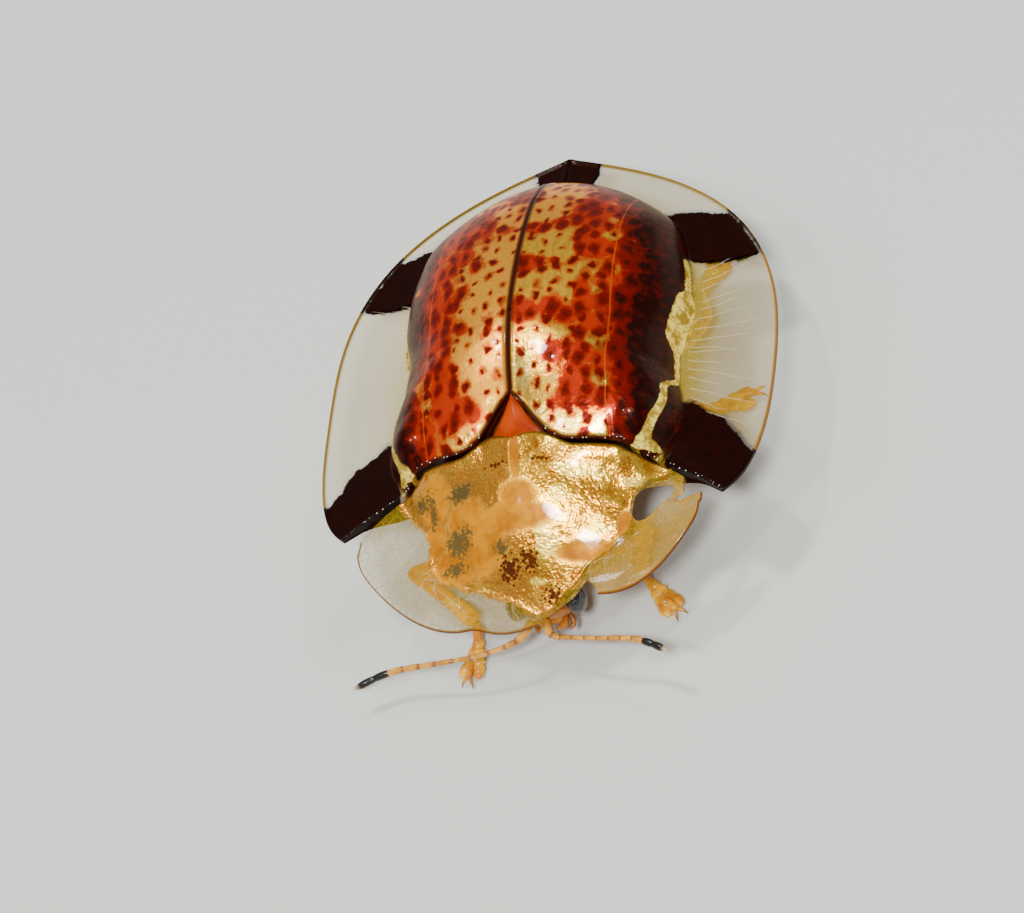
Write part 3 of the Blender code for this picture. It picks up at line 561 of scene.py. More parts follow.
straw = Paint("feeler_straw", roughness=0.3, coat=0.5, coat_roughness=0.08)
straw.set({"Specular IOR Level": 0.2})
straw.set({"Subsurface Weight": 0.2, "Subsurface Radius": (0.0004, 0.0002, 0.0001), "Subsurface Scale": 1.0})
tip = straw.read("tip")
joint = straw.read("joint")
link_tone = straw.mix(joint, straw.mix(straw.step(straw.noise(0.25), 0.3, 0.7), (0.44, 0.17, 0.014), (0.70, 0.34, 0.055)),
                      (0.20, 0.05, 0.004))
black_end = straw.mix(straw.step(tip, 1.6, 1.95), (0.012, 0.010, 0.009), (0.55, 0.38, 0.22))
straw.set({"Base Color": straw.mix(straw.step(tip, 0.45, 0.55), link_tone, black_end)})
straw.bump(straw.noise(0.05, 3.0), 0.006, 0.5)

FEELERS = {
    "right": ((-0.36, -6.02, -0.50), (-0.50, -6.24, -0.55), (-0.72, -6.40, -0.64), (-1.00, -6.50, -0.68),
              (-1.58, -6.62, -0.72), (-2.22, -6.66, -0.76), (-3.18, -6.62, -0.88), (-4.18, -6.62, -1.02),
              (-5.02, -6.88, -1.12)),
    "left": ((-0.02, -6.02, -0.50), (0.02, -6.26, -0.56), (0.16, -6.42, -0.62), (0.42, -6.50, -0.62),
             (0.96, -6.62, -0.58), (1.54, -6.76, -0.50), (2.28, -6.92, -0.44), (3.08, -7.34, -0.42)),
}
LINKS = (0.62, 0.28, 0.42, 0.46, 0.46, 0.44, 0.42, 0.42, 0.40, 0.40, 0.52)
LINK_RADII = (0.115, 0.080, 0.064, 0.060, 0.060, 0.064, 0.072, 0.080, 0.088, 0.094, 0.094)


def make_feeler(side_name):
    path = smooth_line(FEELERS[side_name], 400)
    run = np.concatenate([[0], np.cumsum(np.linalg.norm(np.diff(path, axis=0), axis=1))])
    stops, radii, tips, joints, start = [], [], [], [], 0.0
    for k, (length, full) in enumerate(zip(LINKS, LINK_RADII)):
        last = k == len(LINKS) - 1
        for share in np.linspace(0.0, 1.0 if last else 0.96, 12):
            swell = 0.84 + 0.16 * math.sin(math.pi * min(1.0, share * 1.15 + 0.04)) ** 0.6
            if last:
                swell *= math.sqrt(max(0.02, 1 - max(0.0, (share - 0.35) / 0.65) ** 2.2))
            stops.append((start + share * length) / sum(LINKS) * run[-1])
            radii.append(full * swell)
            tips.append(0.0 if k < 9 else 1.0 + (share if last else 0.0))
            joints.append(math.exp(-(min(share, 1 - share) / 0.09) ** 2))
        start += length
    centres = np.stack([np.interp(stops, run, path[:, k]) for k in range(3)], axis=1) + (0, 0, EDGE_CLEARANCE)
    points, faces = closed_loft(list(tube_rings(centres, radii, 18)))
    values = {"tip": np.concatenate([np.repeat(tips, 18), [0.0, 2.0]]),
              "joint": np.concatenate([np.repeat(joints, 18), [0.0, 0.0]])}
    piece = mesh_piece(f"feeler_{side_name}", in_part(points), faces, straw.material, values)
    work = bmesh.new()
    work.from_mesh(piece.data)
    bmesh.ops.recalc_face_normals(work, faces=work.faces)
    work.to_mesh(piece.data)
    work.free()
    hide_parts(f"antenna_{side_name}")
    return piece


feelers = [make_feeler(side_name) for side_name in ("left", "right")]


# Wing cases: a high pitted dome with a clear, thin brim, one case on each side of the middle seam.
# Gold under lacquer, spotted and clouded with red-brown round the pits; black patches at the corners.

FRONT_Y, APEX_Y, CREST_Y = -6.5, 6.5, 0.2
CREST_HEIGHT = EDGE_CLEARANCE + 3.27
SCUTELLUM_TIP_Y, SHIELD_BACK_Y = -1.83, -2.86
SHOULDER_TIP = (4.70, -4.10)
SHELL_SIDE = (SHOULDER_TIP, (5.13, -3.63), (5.53, -2.35), (5.65, -0.40), (5.46, 1.93),
              (4.44, 4.02), (2.44, 5.55), (0.0, APEX_Y))
SHELL_BASE = ((0.0, SCUTELLUM_TIP_Y), (0.34, -2.21), (0.76, -2.70), (1.30, -2.97), (2.40, -3.00),
              (3.40, -3.32), (4.20, -3.74), SHOULDER_TIP)
DISC_REACH = ((-90, 3.75), (-70, 4.43), (-58, 4.63), (-47, 4.66), (-32, 4.35), (-15, 3.62), (0, 3.43),
              (18, 3.80), (38, 4.35), (50, 4.74), (60, 4.86), (75, 5.05), (90, 5.18))
DISC_FOOT = EDGE_CLEARANCE + 0.30
SHOULDER_KNOB = (3.02, -2.38, 0.34, 0.52)
SHOULDER_ANGLE = math.degrees(math.atan2(SHOULDER_TIP[1] - CREST_Y, SHOULDER_TIP[0]))


def monotone_curve(knots):
    """A smooth function through knots that never overshoots them."""
    kx, ky = np.array(knots, float).T
    step = np.diff(kx)
    rise = np.diff(ky) / step
    slope = np.zeros(len(kx))
    same = rise[:-1] * rise[1:] > 0
    slope[1:-1][same] = 2 * (rise[:-1] * rise[1:])[same] / (rise[:-1] + rise[1:])[same]
    slope[0], slope[-1] = rise[0], rise[-1]

    def value(x):
        x = np.clip(np.asarray(x, float), kx[0], kx[-1])
        i = np.clip(np.searchsorted(kx, x, side="right") - 1, 0, len(step) - 1)
        h = step[i]
        t = (x - kx[i]) / h
        return ((1 + 2 * t) * (1 - t) ** 2 * ky[i] + t * (1 - t) ** 2 * h * slope[i]
                + t * t * (3 - 2 * t) * ky[i + 1] + t * t * (t - 1) * h * slope[i + 1])

    return value


def polar_reach(outline):
    line = smooth_line(outline, 400)
    angle = np.degrees(np.arctan2(line[:, 1] - CREST_Y, line[:, 0]))
    reach = np.hypot(line[:, 0], line[:, 1] - CREST_Y)
    order = np.argsort(angle)
    return lambda a: np.interp(a, angle[order], reach[order])


disc_reach = monotone_curve(DISC_REACH)
side_reach, base_reach = polar_reach(SHELL_SIDE), polar_reach(SHELL_BASE)


def smooth_step(value, low, high):
    t = np.clip((value - low) / (high - low), 0, 1)
    return t * t * (3 - 2 * t)


def shell_height(x, y):
    """Height of the shell's upper face above the floor, as in the solids."""
    x = np.abs(x)
    angle = np.degrees(np.arctan2(y - CREST_Y, x))
    reach = np.hypot(x, y - CREST_Y)
    inward = side_reach(np.maximum(angle, SHOULDER_ANGLE)) - reach
    edge = EDGE_CLEARANCE + 0.38 + 0.033 * np.maximum(0.0, 1.2 - y) ** 1.7
    margin = edge + 0.20 * inward
    along = np.sin(np.radians(angle))
    power = np.where(along > 0, 2.15 - 0.55 * along ** 2, 2.15 - 0.45 * along ** 2)
    steep = np.where(along > 0, 0.47 - 0.07 * along ** 2, 0.47 - 0.03 * along ** 2)
    t = np.clip(reach / disc_reach(angle), 0, 1)
    dome = DISC_FOOT + (CREST_HEIGHT - DISC_FOOT) * (1 - t ** power) ** steep
    knob_x, knob_y, knob_height, knob_size = SHOULDER_KNOB
    dome = dome + knob_height * np.exp(-((x - knob_x) ** 2 + (y - knob_y) ** 2) / knob_size ** 2)
    return 0.5 * (dome + margin + np.sqrt((dome - margin) ** 2 + 0.0144))


def near_line(x, y, line):
    """Distance from each point to a line in plan."""
    best = np.full(len(x), np.inf)
    for a, b in zip(line[:-1], line[1:]):
        way = b - a
        t = np.clip(((x - a[0]) * way[0] + (y - a[1]) * way[1]) / (way @ way), 0, 1)
        best = np.minimum(best, np.hypot(x - a[0] - way[0] * t, y - a[1] - way[1] * t))
    return best


# Pits in rows: each row keeps its share of the way from the middle seam to the foot of the dome
PIT_ROWS = 9
PIT_STEP = 0.40
# Gold and red-brown spots on each case: middle, then the half-widths across and along
GOLD_SPOTS = {
    "left": ((0.32, -1.20, 0.32, 0.85), (0.75, -1.60, 0.38, 0.40), (0.70, -2.30, 0.22, 0.16), (1.42, -2.62, 0.45, 0.20),
             (2.10, -2.75, 0.26, 0.26), (2.65, -2.42, 0.16, 0.16), (2.15, -1.75, 0.17, 0.18), (2.15, -0.66, 0.32, 0.20),
             (0.95, -0.52, 0.36, 0.18), (0.65, 0.85, 0.62, 0.28), (1.32, 0.75, 0.12, 0.50), (1.65, 1.32, 0.32, 0.20),
             (2.00, 0.70, 0.13, 0.12), (0.55, 2.12, 0.55, 0.36), (1.10, 2.05, 0.22, 0.42), (2.22, 2.40, 0.18, 0.17),
             (2.62, 2.40, 0.14, 0.15), (2.12, 3.02, 0.14, 0.13), (0.50, 3.45, 0.46, 0.45), (0.95, 4.30, 0.60, 0.45),
             (2.05, 3.95, 0.20, 0.40), (2.72, 3.45, 0.14, 0.12), (2.35, 1.40, 0.10, 0.14), (0.4, 4.9, 0.5, 0.4)),
    "right": ((0.42, -1.55, 0.36, 0.50), (0.75, -1.05, 0.36, 0.60), (1.25, -2.70, 0.38, 0.20), (0.62, 0.70, 0.42, 0.85),
              (0.28, -0.60, 0.20, 0.50), (0.62, 2.00, 0.38, 0.50), (1.22, 0.60, 0.15, 0.55), (2.15, -1.70, 0.17, 0.26),
              (2.42, -1.15, 0.30, 0.26), (1.34, 1.55, 0.14, 0.35), (0.52, 3.40, 0.32, 0.42), (2.78, -1.70, 0.24, 0.30),
              (1.22, -0.60, 0.22, 0.30), (2.50, 3.40, 0.35, 0.35), (1.45, 4.20, 0.45, 0.35), (2.9, 1.9, 0.25, 0.4)),
}
RED_SPOTS = {
    "left": ((0.36, 0.15, 0.42, 0.38), (0.95, 0.25, 0.35, 0.20), (1.42, -0.02, 0.26, 0.30), (1.95, -0.20, 0.36, 0.34),
             (1.62, 0.82, 0.24, 0.30), (1.10, -1.00, 0.26, 0.28), (1.70, -0.98, 0.22, 0.36), (2.20, -1.25, 0.30, 0.32),
             (1.48, -1.70, 0.34, 0.34), (1.90, -2.00, 0.45, 0.28), (2.62, -1.90, 0.32, 0.32), (1.25, -2.15, 0.36, 0.25),
             (0.32, 1.62, 0.42, 0.28), (0.92, 1.62, 0.17, 0.14), (1.92, 2.00, 0.30, 0.45), (1.52, 2.25, 0.26, 0.32),
             (0.28, 2.78, 0.38, 0.22), (0.86, 3.00, 0.20, 0.20), (1.32, 3.25, 0.26, 0.34), (1.72, 2.92, 0.30, 0.26),
             (1.42, 3.75, 0.34, 0.26), (1.85, 3.55, 0.26, 0.26), (1.72, 0.35, 0.30, 0.20), (2.40, 3.00, 0.35, 0.30)),
    "right": ((1.35, 1.05, 0.22, 0.22), (1.22, -0.05, 0.20, 0.24), (1.10, 1.75, 0.16, 0.18), (0.50, -0.20, 0.13, 0.28), (0.48, 0.25, 0.14, 0.16), (0.48, 1.45, 0.14, 0.10), (0.48, 2.85, 0.26, 0.22),
              (1.90, -0.15, 0.36, 0.22), (1.98, 0.95, 0.26, 0.36), (1.98, 1.85, 0.30, 0.42), (1.42, 2.20, 0.22, 0.36),
              (1.75, -1.75, 0.44, 0.80), (1.28, -2.10, 0.36, 0.44), (0.92, -2.20, 0.26, 0.26), (1.65, -0.90, 0.26, 0.36),
              (1.00, 3.00, 0.26, 0.44), (1.85, 2.90, 0.36, 0.36), (1.35, 3.60, 0.36, 0.30), (2.40, -2.20, 0.30, 0.5)),
}
# Painted highlights: spots where the gold is painted near white, standing in for the lamps' glints
PAINTED_GLINTS = {
    "left": ((0.34, -1.25, 0.26, 0.62), (0.70, -2.30, 0.18, 0.12), (1.40, -2.64, 0.36, 0.15), (2.10, -2.75, 0.20, 0.20),
             (2.02, 0.70, 0.10, 0.09)),
    "right": ((1.28, -2.72, 0.30, 0.14), (0.45, -2.05, 0.12, 0.16)),
}
# How far towards the middle seam the red-brown of the flank reaches, as a share of the dome's half-width
FLANK_START = {"left": 0.56, "right": 0.52}


def spot_depth(x, y, spots):
    """1 in the middle of the nearest spot, falling off smoothly outside it."""
    return np.max([np.exp(-((x - px) / wide) ** 2 - ((y - py) / long) ** 2) for px, py, wide, long in spots], axis=0)


def disc_half_width(y):
    """Reach of the dome's foot sideways from the middle at y."""
    angle = np.linspace(-90, 90, 721)
    reach = disc_reach(angle)
    line_y = CREST_Y + reach * np.sin(np.radians(angle))
    return np.interp(y, line_y, reach * np.cos(np.radians(angle)))


def pits_of(side_name):
    rng = np.random.default_rng(41 if side_name == "left" else 57)
    pits = []
    for row in range(PIT_ROWS):
        share = (row + 0.62) / (PIT_ROWS + 0.35)
        y = -2.9 + 0.18 * (row % 2) + 0.12 * row / PIT_ROWS
        while y < 5.0:
            x = share * disc_half_width(y) + rng.normal(0, 0.05)
            pits.append((x, y, rng.uniform(0.55, 1.2)))
            y += PIT_STEP * rng.uniform(0.60, 1.42)
    return np.array(pits)


def clouding(x, y, side_name):
    """How red-brown the lacquer is round a place, 0 to 1, before its pits are counted."""
    share = x / np.maximum(disc_half_width(y), 0.2)
    start = FLANK_START[side_name]
    cloud = 0.22 + 0.28 * smooth_step(share, 0.28, 0.50) + 0.64 * smooth_step(share, start, start + 0.20) + 0.25 * smooth_step(y, 2.6, 3.6)
    cloud = np.maximum(cloud, 1.15 * spot_depth(x, y, RED_SPOTS[side_name]))
    return np.clip(cloud - 0.95 * spot_depth(x, y, GOLD_SPOTS[side_name]), 0, 1.2)


RAY_COUNT, RING_COUNT = 380, 170
UNDER_STEP = 5
EVEN_DEGREES, INNER_PART = 4.0, 0.80
SEAM_GAP = 0.006
CASE_THICKNESS, RIM_THICKNESS = 0.14, 0.05
LIP_DROP = 0.62
PATCHES = (
    ((2.9, 2.55), (3.42, 2.74), (4.20, 2.70), (5.02, 2.86), (5.6, 3.0), (4.9, 4.4), (4.10, 4.12), (3.30, 4.30), (2.6, 4.2)),
    ((3.46, -2.6), (3.44, -2.1), (3.62, -1.62), (3.80, -1.50), (4.05, -1.75), (4.60, -2.05), (5.00, -2.62), (5.45, -3.2), (4.9, -4.4),
     (4.2, -3.9), (3.3, -3.5), (3.35, -3.1)),
    ((-0.2, 5.5), (0.62, 5.50), (0.78, 5.9), (0.74, 6.5), (-0.2, 6.9)),
)


def inside(x, y, outline):
    """Signed distance to a closed outline in plan, positive inside."""
    loop = np.array([*outline, outline[0]], float)
    crossings = np.zeros(len(x), int)
    for (ax, ay), (bx, by) in zip(loop[:-1], loop[1:]):
        span = (ay > y) != (by > y)
        crossings += span & (x < ax + (y - ay) * (bx - ax) / (by - ay + 1e-12))
    return np.where(crossings % 2 == 1, 1, -1) * near_line(x, y, loop)


def case_points():
    """Plan places of a wing case on rays from the crest, ring by ring."""
    angles = np.linspace(-90, 90, RAY_COUNT)
    angles[np.argmin(np.abs(angles - SHOULDER_ANGLE))] = SHOULDER_ANGLE
    edge = np.where(angles >= SHOULDER_ANGLE, side_reach(angles), base_reach(angles))
    # The inner rings follow an evened edge, so that the jump at the shoulder tip stays near the tip
    spread = np.exp(-0.5 * ((angles[:, None] - angles) / EVEN_DEGREES) ** 2)
    evened = INNER_PART * (spread @ edge) / spread.sum(axis=1)
    share = np.linspace(0, 1, RING_COUNT + 1)[1:]
    past = np.clip((share - INNER_PART) / (1 - INNER_PART), 0, 1)
    reach = evened[:, None] * np.minimum(share / INNER_PART, 1) + (edge - evened)[:, None] * past
    level, rise = np.cos(np.radians(angles))[:, None], np.sin(np.radians(angles))[:, None]
    squeeze = 1 - SEAM_GAP / np.maximum(edge[:, None] * level, SEAM_GAP)
    return SEAM_GAP + reach * level * squeeze, CREST_Y + reach * rise


def make_case(side_name):
    side = 1 if side_name == "left" else -1
    grid_x, grid_y = case_points()
    x = np.concatenate([[SEAM_GAP], grid_x.ravel()])
    y = np.concatenate([[CREST_Y], grid_y.ravel()])
    z = shell_height(x, y)
    base_line, side_line = smooth_line(SHELL_BASE, 120), smooth_line(SHELL_SIDE, 160)
    to_base, to_side = near_line(x, y, base_line), near_line(x, y, side_line)
    seam = np.exp(-((x - 0.075) / 0.055) ** 2) * (y > SCUTELLUM_TIP_Y - 0.1)
    z = z + 0.022 * seam + 0.075 * np.exp(-(to_base / 0.075) ** 2) + 0.045 * np.exp(-((to_side - 0.05) / 0.05) ** 2)
    width = disc_half_width(y)
    angle = np.degrees(np.arctan2(y - CREST_Y, x))
    reach = np.hypot(x, y - CREST_Y)
    foot = disc_reach(angle) * 0.985
    outside = smooth_step(reach - foot, -0.05, 0.10)
    pits = pits_of(side_name)
    pit, halo, blot = np.zeros(len(x)), np.zeros(len(x)), np.zeros(len(x))
    cloud = clouding(x, y, side_name)
    warped_x = x + 0.035 * np.sin(7.3 * y + 3.1 * x) + 0.028 * np.sin(17 * x - 11 * y)
    warped_y = y + 0.035 * np.sin(6.1 * x - 4.3 * y) + 0.028 * np.sin(13 * x + 15 * y)
    for (px, py, size), shade in zip(pits, clouding(pits[:, 0], pits[:, 1], side_name)):
        near = (x - px) ** 2 + (y - py) ** 2
        around = (warped_x - px) ** 2 + ((warped_y - py) / 1.25) ** 2
        pit = np.maximum(pit, np.exp(-near / (0.074 * size) ** 2))
        along = (warped_x - px) ** 2 + ((warped_y - py) / 1.7) ** 2
        blot = np.maximum(blot, np.exp(-along / (0.13 * size) ** 2))
        halo = np.maximum(halo, np.exp(-around / ((0.125 + 0.20 * shade) * size) ** 2))
    inner_disc = 1 - smooth_step(reach - foot, -0.35, -0.02)
    z = z - 0.006 * pit * inner_disc
    furrow = np.exp(-((x - 2.36 - 0.30 * (y + 2.7)) / 0.13) ** 2) * smooth_step(-y, 2.05, 2.6)
    z = z - 0.05 * furrow * inner_disc
    patch = np.max([inside(x, y, p) for p in PATCHES], axis=0)
    patch = np.minimum(patch, np.where(np.abs(y - 3.3) < 1.5, to_side - 0.10, 1.0))
    wrinkle = 0.006 * np.sin(9 * angle * 0.7 + 4 * reach) * smooth_step(reach - foot, 0.1, 0.5)
    z = z + wrinkle
    # A golden, opaque fringe along the dome's foot: broad beside the middle, thin ahead of it and higher up the flank.
    # Beside the shoulder's base a pale spot is added, which is a painted highlight.
    ahead = smooth_step(-y, 0.9, 1.5)
    fringe = 0.035 + 0.12 * smooth_step(y, -0.25, 0.25) * (1 - smooth_step(y, 1.2, 1.65)) + 0.035 * ahead
    middle = -0.02 - 0.30 * ahead
    pale = np.exp(-((reach - foot - middle) / fringe) ** 4) * (1 - smooth_step(y, 2.4, 2.7)) * (y > -3.1)
    # Painted highlight: a pale gold spot beside the shoulder's base
    pale = np.maximum(pale, np.exp(-((x - 3.02) / 0.26) ** 2 - ((y + 2.92) / 0.13) ** 2))
    # Copper tone on the right case and the tail: partly its own colour, partly a painted broad reflection
    copper_and_sheen = np.clip((0.80 if side < 0 else 0.0) + 0.9 * smooth_step(y, 2.2, 3.6), 0, 1)
    # Painted highlights: the gold is painted paler ahead and near white at the glint spots
    painted_glint = (1 - smooth_step(y, -1.1, 0.0)) * (0.6 if side > 0 else 0.12)
    painted_glint = painted_glint + 0.8 * spot_depth(x, y, PAINTED_GLINTS[side_name])
    attributes = {"painted_glint": painted_glint, "pale": pale, "copper_and_sheen": copper_and_sheen, "pit": pit * (1 - outside),
                  "halo": np.clip(halo, 0, 1), "blot": blot, "cloud": cloud, "outside": outside,
                  "patch": patch, "seam": np.exp(-(x / 0.115) ** 4) * (y > SCUTELLUM_TIP_Y - 0.15),
                  "base": np.exp(-(to_base / 0.12) ** 4), "rim": np.exp(-(to_side / 0.05) ** 4),
                  "brim": np.clip((reach - foot) / np.maximum(to_side + reach - foot, 0.05), 0, 1),
                  "across": x / np.maximum(width, 0.2), "aside": x}
    upper = np.stack([side * x, y, z], axis=1)
    rows = RAY_COUNT * RING_COUNT
    quads = grid_quads(RAY_COUNT, RING_COUNT) + 1
    r = np.arange(RAY_COUNT - 1) * RING_COUNT + 1
    centre = np.stack([np.zeros(RAY_COUNT - 1, int), r, r + RING_COUNT], axis=-1)
    quads = quads[:, ::-1]
    # The underside has the same rays with fewer rings, and the two meet in a thin wall round the edge
    pick = np.array([*range(UNDER_STEP - 1, RING_COUNT - 5, UNDER_STEP), *(RING_COUNT - k for k in (5, 4, 1))])
    under = len(pick)
    index = 1 + (np.arange(RAY_COUNT)[:, None] * RING_COUNT + pick)
    low_x, low_y = x[index.ravel()], y[index.ravel()]
    wall = RIM_THICKNESS + (CASE_THICKNESS - RIM_THICKNESS) * smooth_step(to_side[index.ravel()], 0.02, 0.5)
    low = np.stack([side * low_x, low_y, shell_height(low_x, low_y) - wall], axis=1)
    # Along the base the edge turns down in a lip that meets the shield
    lip = LIP_DROP * smooth_step(low_x, 0.5, 1.2) * (1 - smooth_step(low_x, 3.2, 4.5)) * (low_y < -2)
    lip = np.where(np.isin(np.arange(len(low)) % under, (under - 1, under - 2)), lip, 0.0)
    low[:, 2] -= lip
    low = np.concatenate([[[side * SEAM_GAP, CREST_Y, CREST_HEIGHT - CASE_THICKNESS]], low])
    start = rows + 1
    low_quads = grid_quads(RAY_COUNT, under) + start + 1
    lr = np.arange(RAY_COUNT - 1) * under + start + 1
    low_centre = np.stack([np.full(RAY_COUNT - 1, start), lr + under, lr], axis=-1)
    top_edge = 1 + np.arange(RAY_COUNT) * RING_COUNT + RING_COUNT - 1
    low_edge = start + 1 + np.arange(RAY_COUNT) * under + under - 1
    wall = np.stack([top_edge[:-1], low_edge[:-1], low_edge[1:], top_edge[1:]], axis=-1)
    walls = [wall]
    for ray, turn in ((0, 1), (RAY_COUNT - 1, -1)):
        top_line = np.concatenate([[0], 1 + ray * RING_COUNT + np.arange(RING_COUNT)])
        low_line = np.concatenate([[start], start + 1 + ray * under + np.arange(under)])
        stations = np.concatenate([[0], pick + 1])
        for k in range(under):
            span = top_line[stations[k]:stations[k + 1] + 1]
            fan = np.stack([span[:-1], span[1:], np.full(len(span) - 1, low_line[k])], axis=-1)
            closing = np.array([[span[-1], low_line[k + 1], low_line[k]]])
            walls.append(np.concatenate([fan, closing])[:, ::turn])
    faces = [quads, centre, low_quads, low_centre, wall, *walls[1:]]
    if side < 0:
        faces = [f[:, ::-1] for f in faces]
    flat = {key: np.concatenate([v, np.concatenate([[v[0]], v[index.ravel()]])]) for key, v in attributes.items()}
    points = np.concatenate([upper, low])
    piece = mesh_piece(f"wing_case_{side_name}", in_part(points), faces, lacquer.material, flat)
    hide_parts(f"elytron_{side_name}")
    return piece


lacquer = Paint("lacquered_case", roughness=0.25, coat=1.0, coat_roughness=0.055)
lacquer.set({"Specular IOR Level": 0.10, "Specular Tint": (1.0, 0.62, 0.42), "Coat IOR": 1.4})
spark = lacquer.noise(0.05, 2.0, 0.6)
fine = lacquer.noise(0.11, 4.0, 0.65)
lumpy = lacquer.noise(0.30, 2.0, 0.5)
ragged = lacquer.noise(0.26, 5.0, 0.72)
cloud, halo, pit, outside, brim, patch, painted_glint, pale, copper_and_sheen = (
    lacquer.read(key) for key in ("cloud", "halo", "pit", "outside", "brim", "patch", "painted_glint", "pale", "copper_and_sheen"))

# Red-brown lacquer round the pits, deeper at their middles and down the flank
spotted = halo * 0.74 + cloud * 0.64 + (ragged - 0.5) * 0.95
red = lacquer.step(spotted, 0.52, 0.66)
flank = lacquer.step(lacquer.read("across") + (ragged - 0.5) * 0.12, 0.60, 0.84)
depth = pit * 0.25 + lacquer.read("blot") * 0.62 + flank * 1.0 + (ragged - 0.5) * 0.9 - 0.10
brown = lacquer.mix(lacquer.step(depth, -0.12, 0.34), (0.40, 0.021, 0.0003), (0.15, 0.0030, 0.0002))
brown = lacquer.mix(lacquer.step(depth, 0.48, 1.05), brown, (0.014, 0.0010, 0.0004))

# Gold beneath: olive on the left case, copper on the right and at the tail (partly a painted reflection), orange where
# red begins; paler ahead and near white at the glints, which are painted highlights
gold = lacquer.mix(copper_and_sheen, (0.78, 0.40, 0.016), (1.0, 0.36, 0.022))
streak = lacquer.noise(0.09, 3.0, 0.6, (1.0, 0.16, 0.5))
gold = lacquer.mix(lacquer.step(streak, 0.46, 0.66) * 0.55, gold, lacquer.mix(copper_and_sheen, (0.40, 0.20, 0.012), (1.0, 0.48, 0.06)))
# Painted highlights: paler and near-white gold where the glints are painted
gold = lacquer.mix(lacquer.step(painted_glint, 0.1, 0.7), gold, (1.0, 0.56, 0.05))
gold = lacquer.mix(lacquer.step(painted_glint + (ragged - 0.5) * 0.7, 0.85, 1.10), gold, (1.0, 0.74, 0.14))
gold = lacquer.mix(lacquer.step(spark, 0.52, 0.68) * 0.8, gold, (1.0, 0.56, 0.04))
gold = lacquer.mix(lacquer.step(fine, 0.52, 0.70) * 0.5, gold, (0.42, 0.15, 0.010))
gold = lacquer.mix(lacquer.step(spotted, 0.22, 0.50) * 0.90, gold, (0.66, 0.090, 0.001))
disc = lacquer.mix(red, gold, brown)
ridge = 1 - lacquer.step(lacquer.node("ShaderNodeMath", {"operation": "ABSOLUTE"}, {0: lacquer.read("aside") - 2.26}), 0.008, 0.026)
disc = lacquer.mix(ridge * 0.45, disc, (0.62, 0.10, 0.006))
disc = lacquer.mix(pit * (0.45 + red * 0.25), disc, (0.065, 0.0025, 0.0002))
dark_line = lacquer.node("ShaderNodeMath", {"operation": "MAXIMUM"}, {0: lacquer.read("seam"), 1: lacquer.read("base")})
disc = lacquer.mix(dark_line, disc, (0.035, 0.003, 0.0006))

# Clear brim with a faint comb of cells near the dome, a red-brown rim, black patches and a golden fringe
near_dome = 1 - lacquer.step(brim, 0.05, 0.55)
comb_line = 1 - lacquer.step(lacquer.cells(0.16, "DISTANCE_TO_EDGE"), 0.0, 0.10)
clear_tone = lacquer.mix(near_dome, (0.48, 0.32, 0.015), (0.56, 0.40, 0.04))
clear_tone = lacquer.mix(lacquer.read("rim"), clear_tone, (0.22, 0.080, 0.006))
frayed = patch + (ragged - 0.5) * 0.32
patch_tone = lacquer.mix(lumpy, (0.002, 0.0005, 0.0003), (0.015, 0.0014, 0.0004))
outer = lacquer.mix(lacquer.step(frayed, -0.14, -0.07), clear_tone, patch_tone)
is_patch = lacquer.step(frayed, -0.04, 0.04)
is_pale = lacquer.step(pale + (ragged - 0.5) * 0.9, 0.42, 0.56) * (1 - is_patch)
pale_tone = lacquer.mix(lacquer.step(fine + lumpy, 0.86, 1.12), (0.40, 0.25, 0.02), (1.0, 0.76, 0.13))
lacquer.set({"Base Color": lacquer.mix(is_pale, lacquer.mix(outside, disc, outer), pale_tone)})
film = lacquer.facing(0.3) * 0.20 + 0.23 + near_dome * 0.06 + comb_line * near_dome * 0.12
film = lacquer.step(film + lacquer.read("rim") * 0.65 + is_patch + is_pale, 0.0, 1.0)
lacquer.set({"Alpha": 1 - outside * (1 - film)})
shiny = lacquer.step(painted_glint, 0.1, 0.7)
metal = (0.74 + shiny * 0.20) * (1 - red) + red * 0.30
lacquer.set({"Metallic": (1 - dark_line) * (1 - outside) * metal + outside * is_pale * 0.60})
gloss = (1 - red * 0.50) * (1 - flank * 0.70) * (1 - lacquer.facing(0.5) * 0.75)
lacquer.set({"Coat Weight": gloss * (1 - outside * (1 - is_pale) * 0.80) * (1 - dark_line * 0.5)})
lacquer.set({"Roughness": 0.24 + fine * 0.20 - shiny * 0.08})
crumple = (fine * (0.6 + shiny * 0.8) + lumpy * (1.4 + shiny * 2.0) + spark * 0.4 + ridge * 0.5) * (1 - outside * (1 - is_pale * 0.12))
lacquer.bump(crumple + comb_line * outside * (1 - is_patch) * near_dome * 0.3, 0.012, 0.6)

cases = [make_case(side_name) for side_name in ("left", "right")]

air = Paint("air_tube", roughness=0.35)
air.set({"Base Color": air.mix(air.noise(0.3), (0.78, 0.72, 0.52), (0.97, 0.95, 0.86)), "Alpha": 0.42})


def thread(points, root, end, sides=5):
    """A fine closed tube through the given points."""
    count = len(points)
    return closed_loft(list(tube_rings(points, np.linspace(root, end, count), sides)))


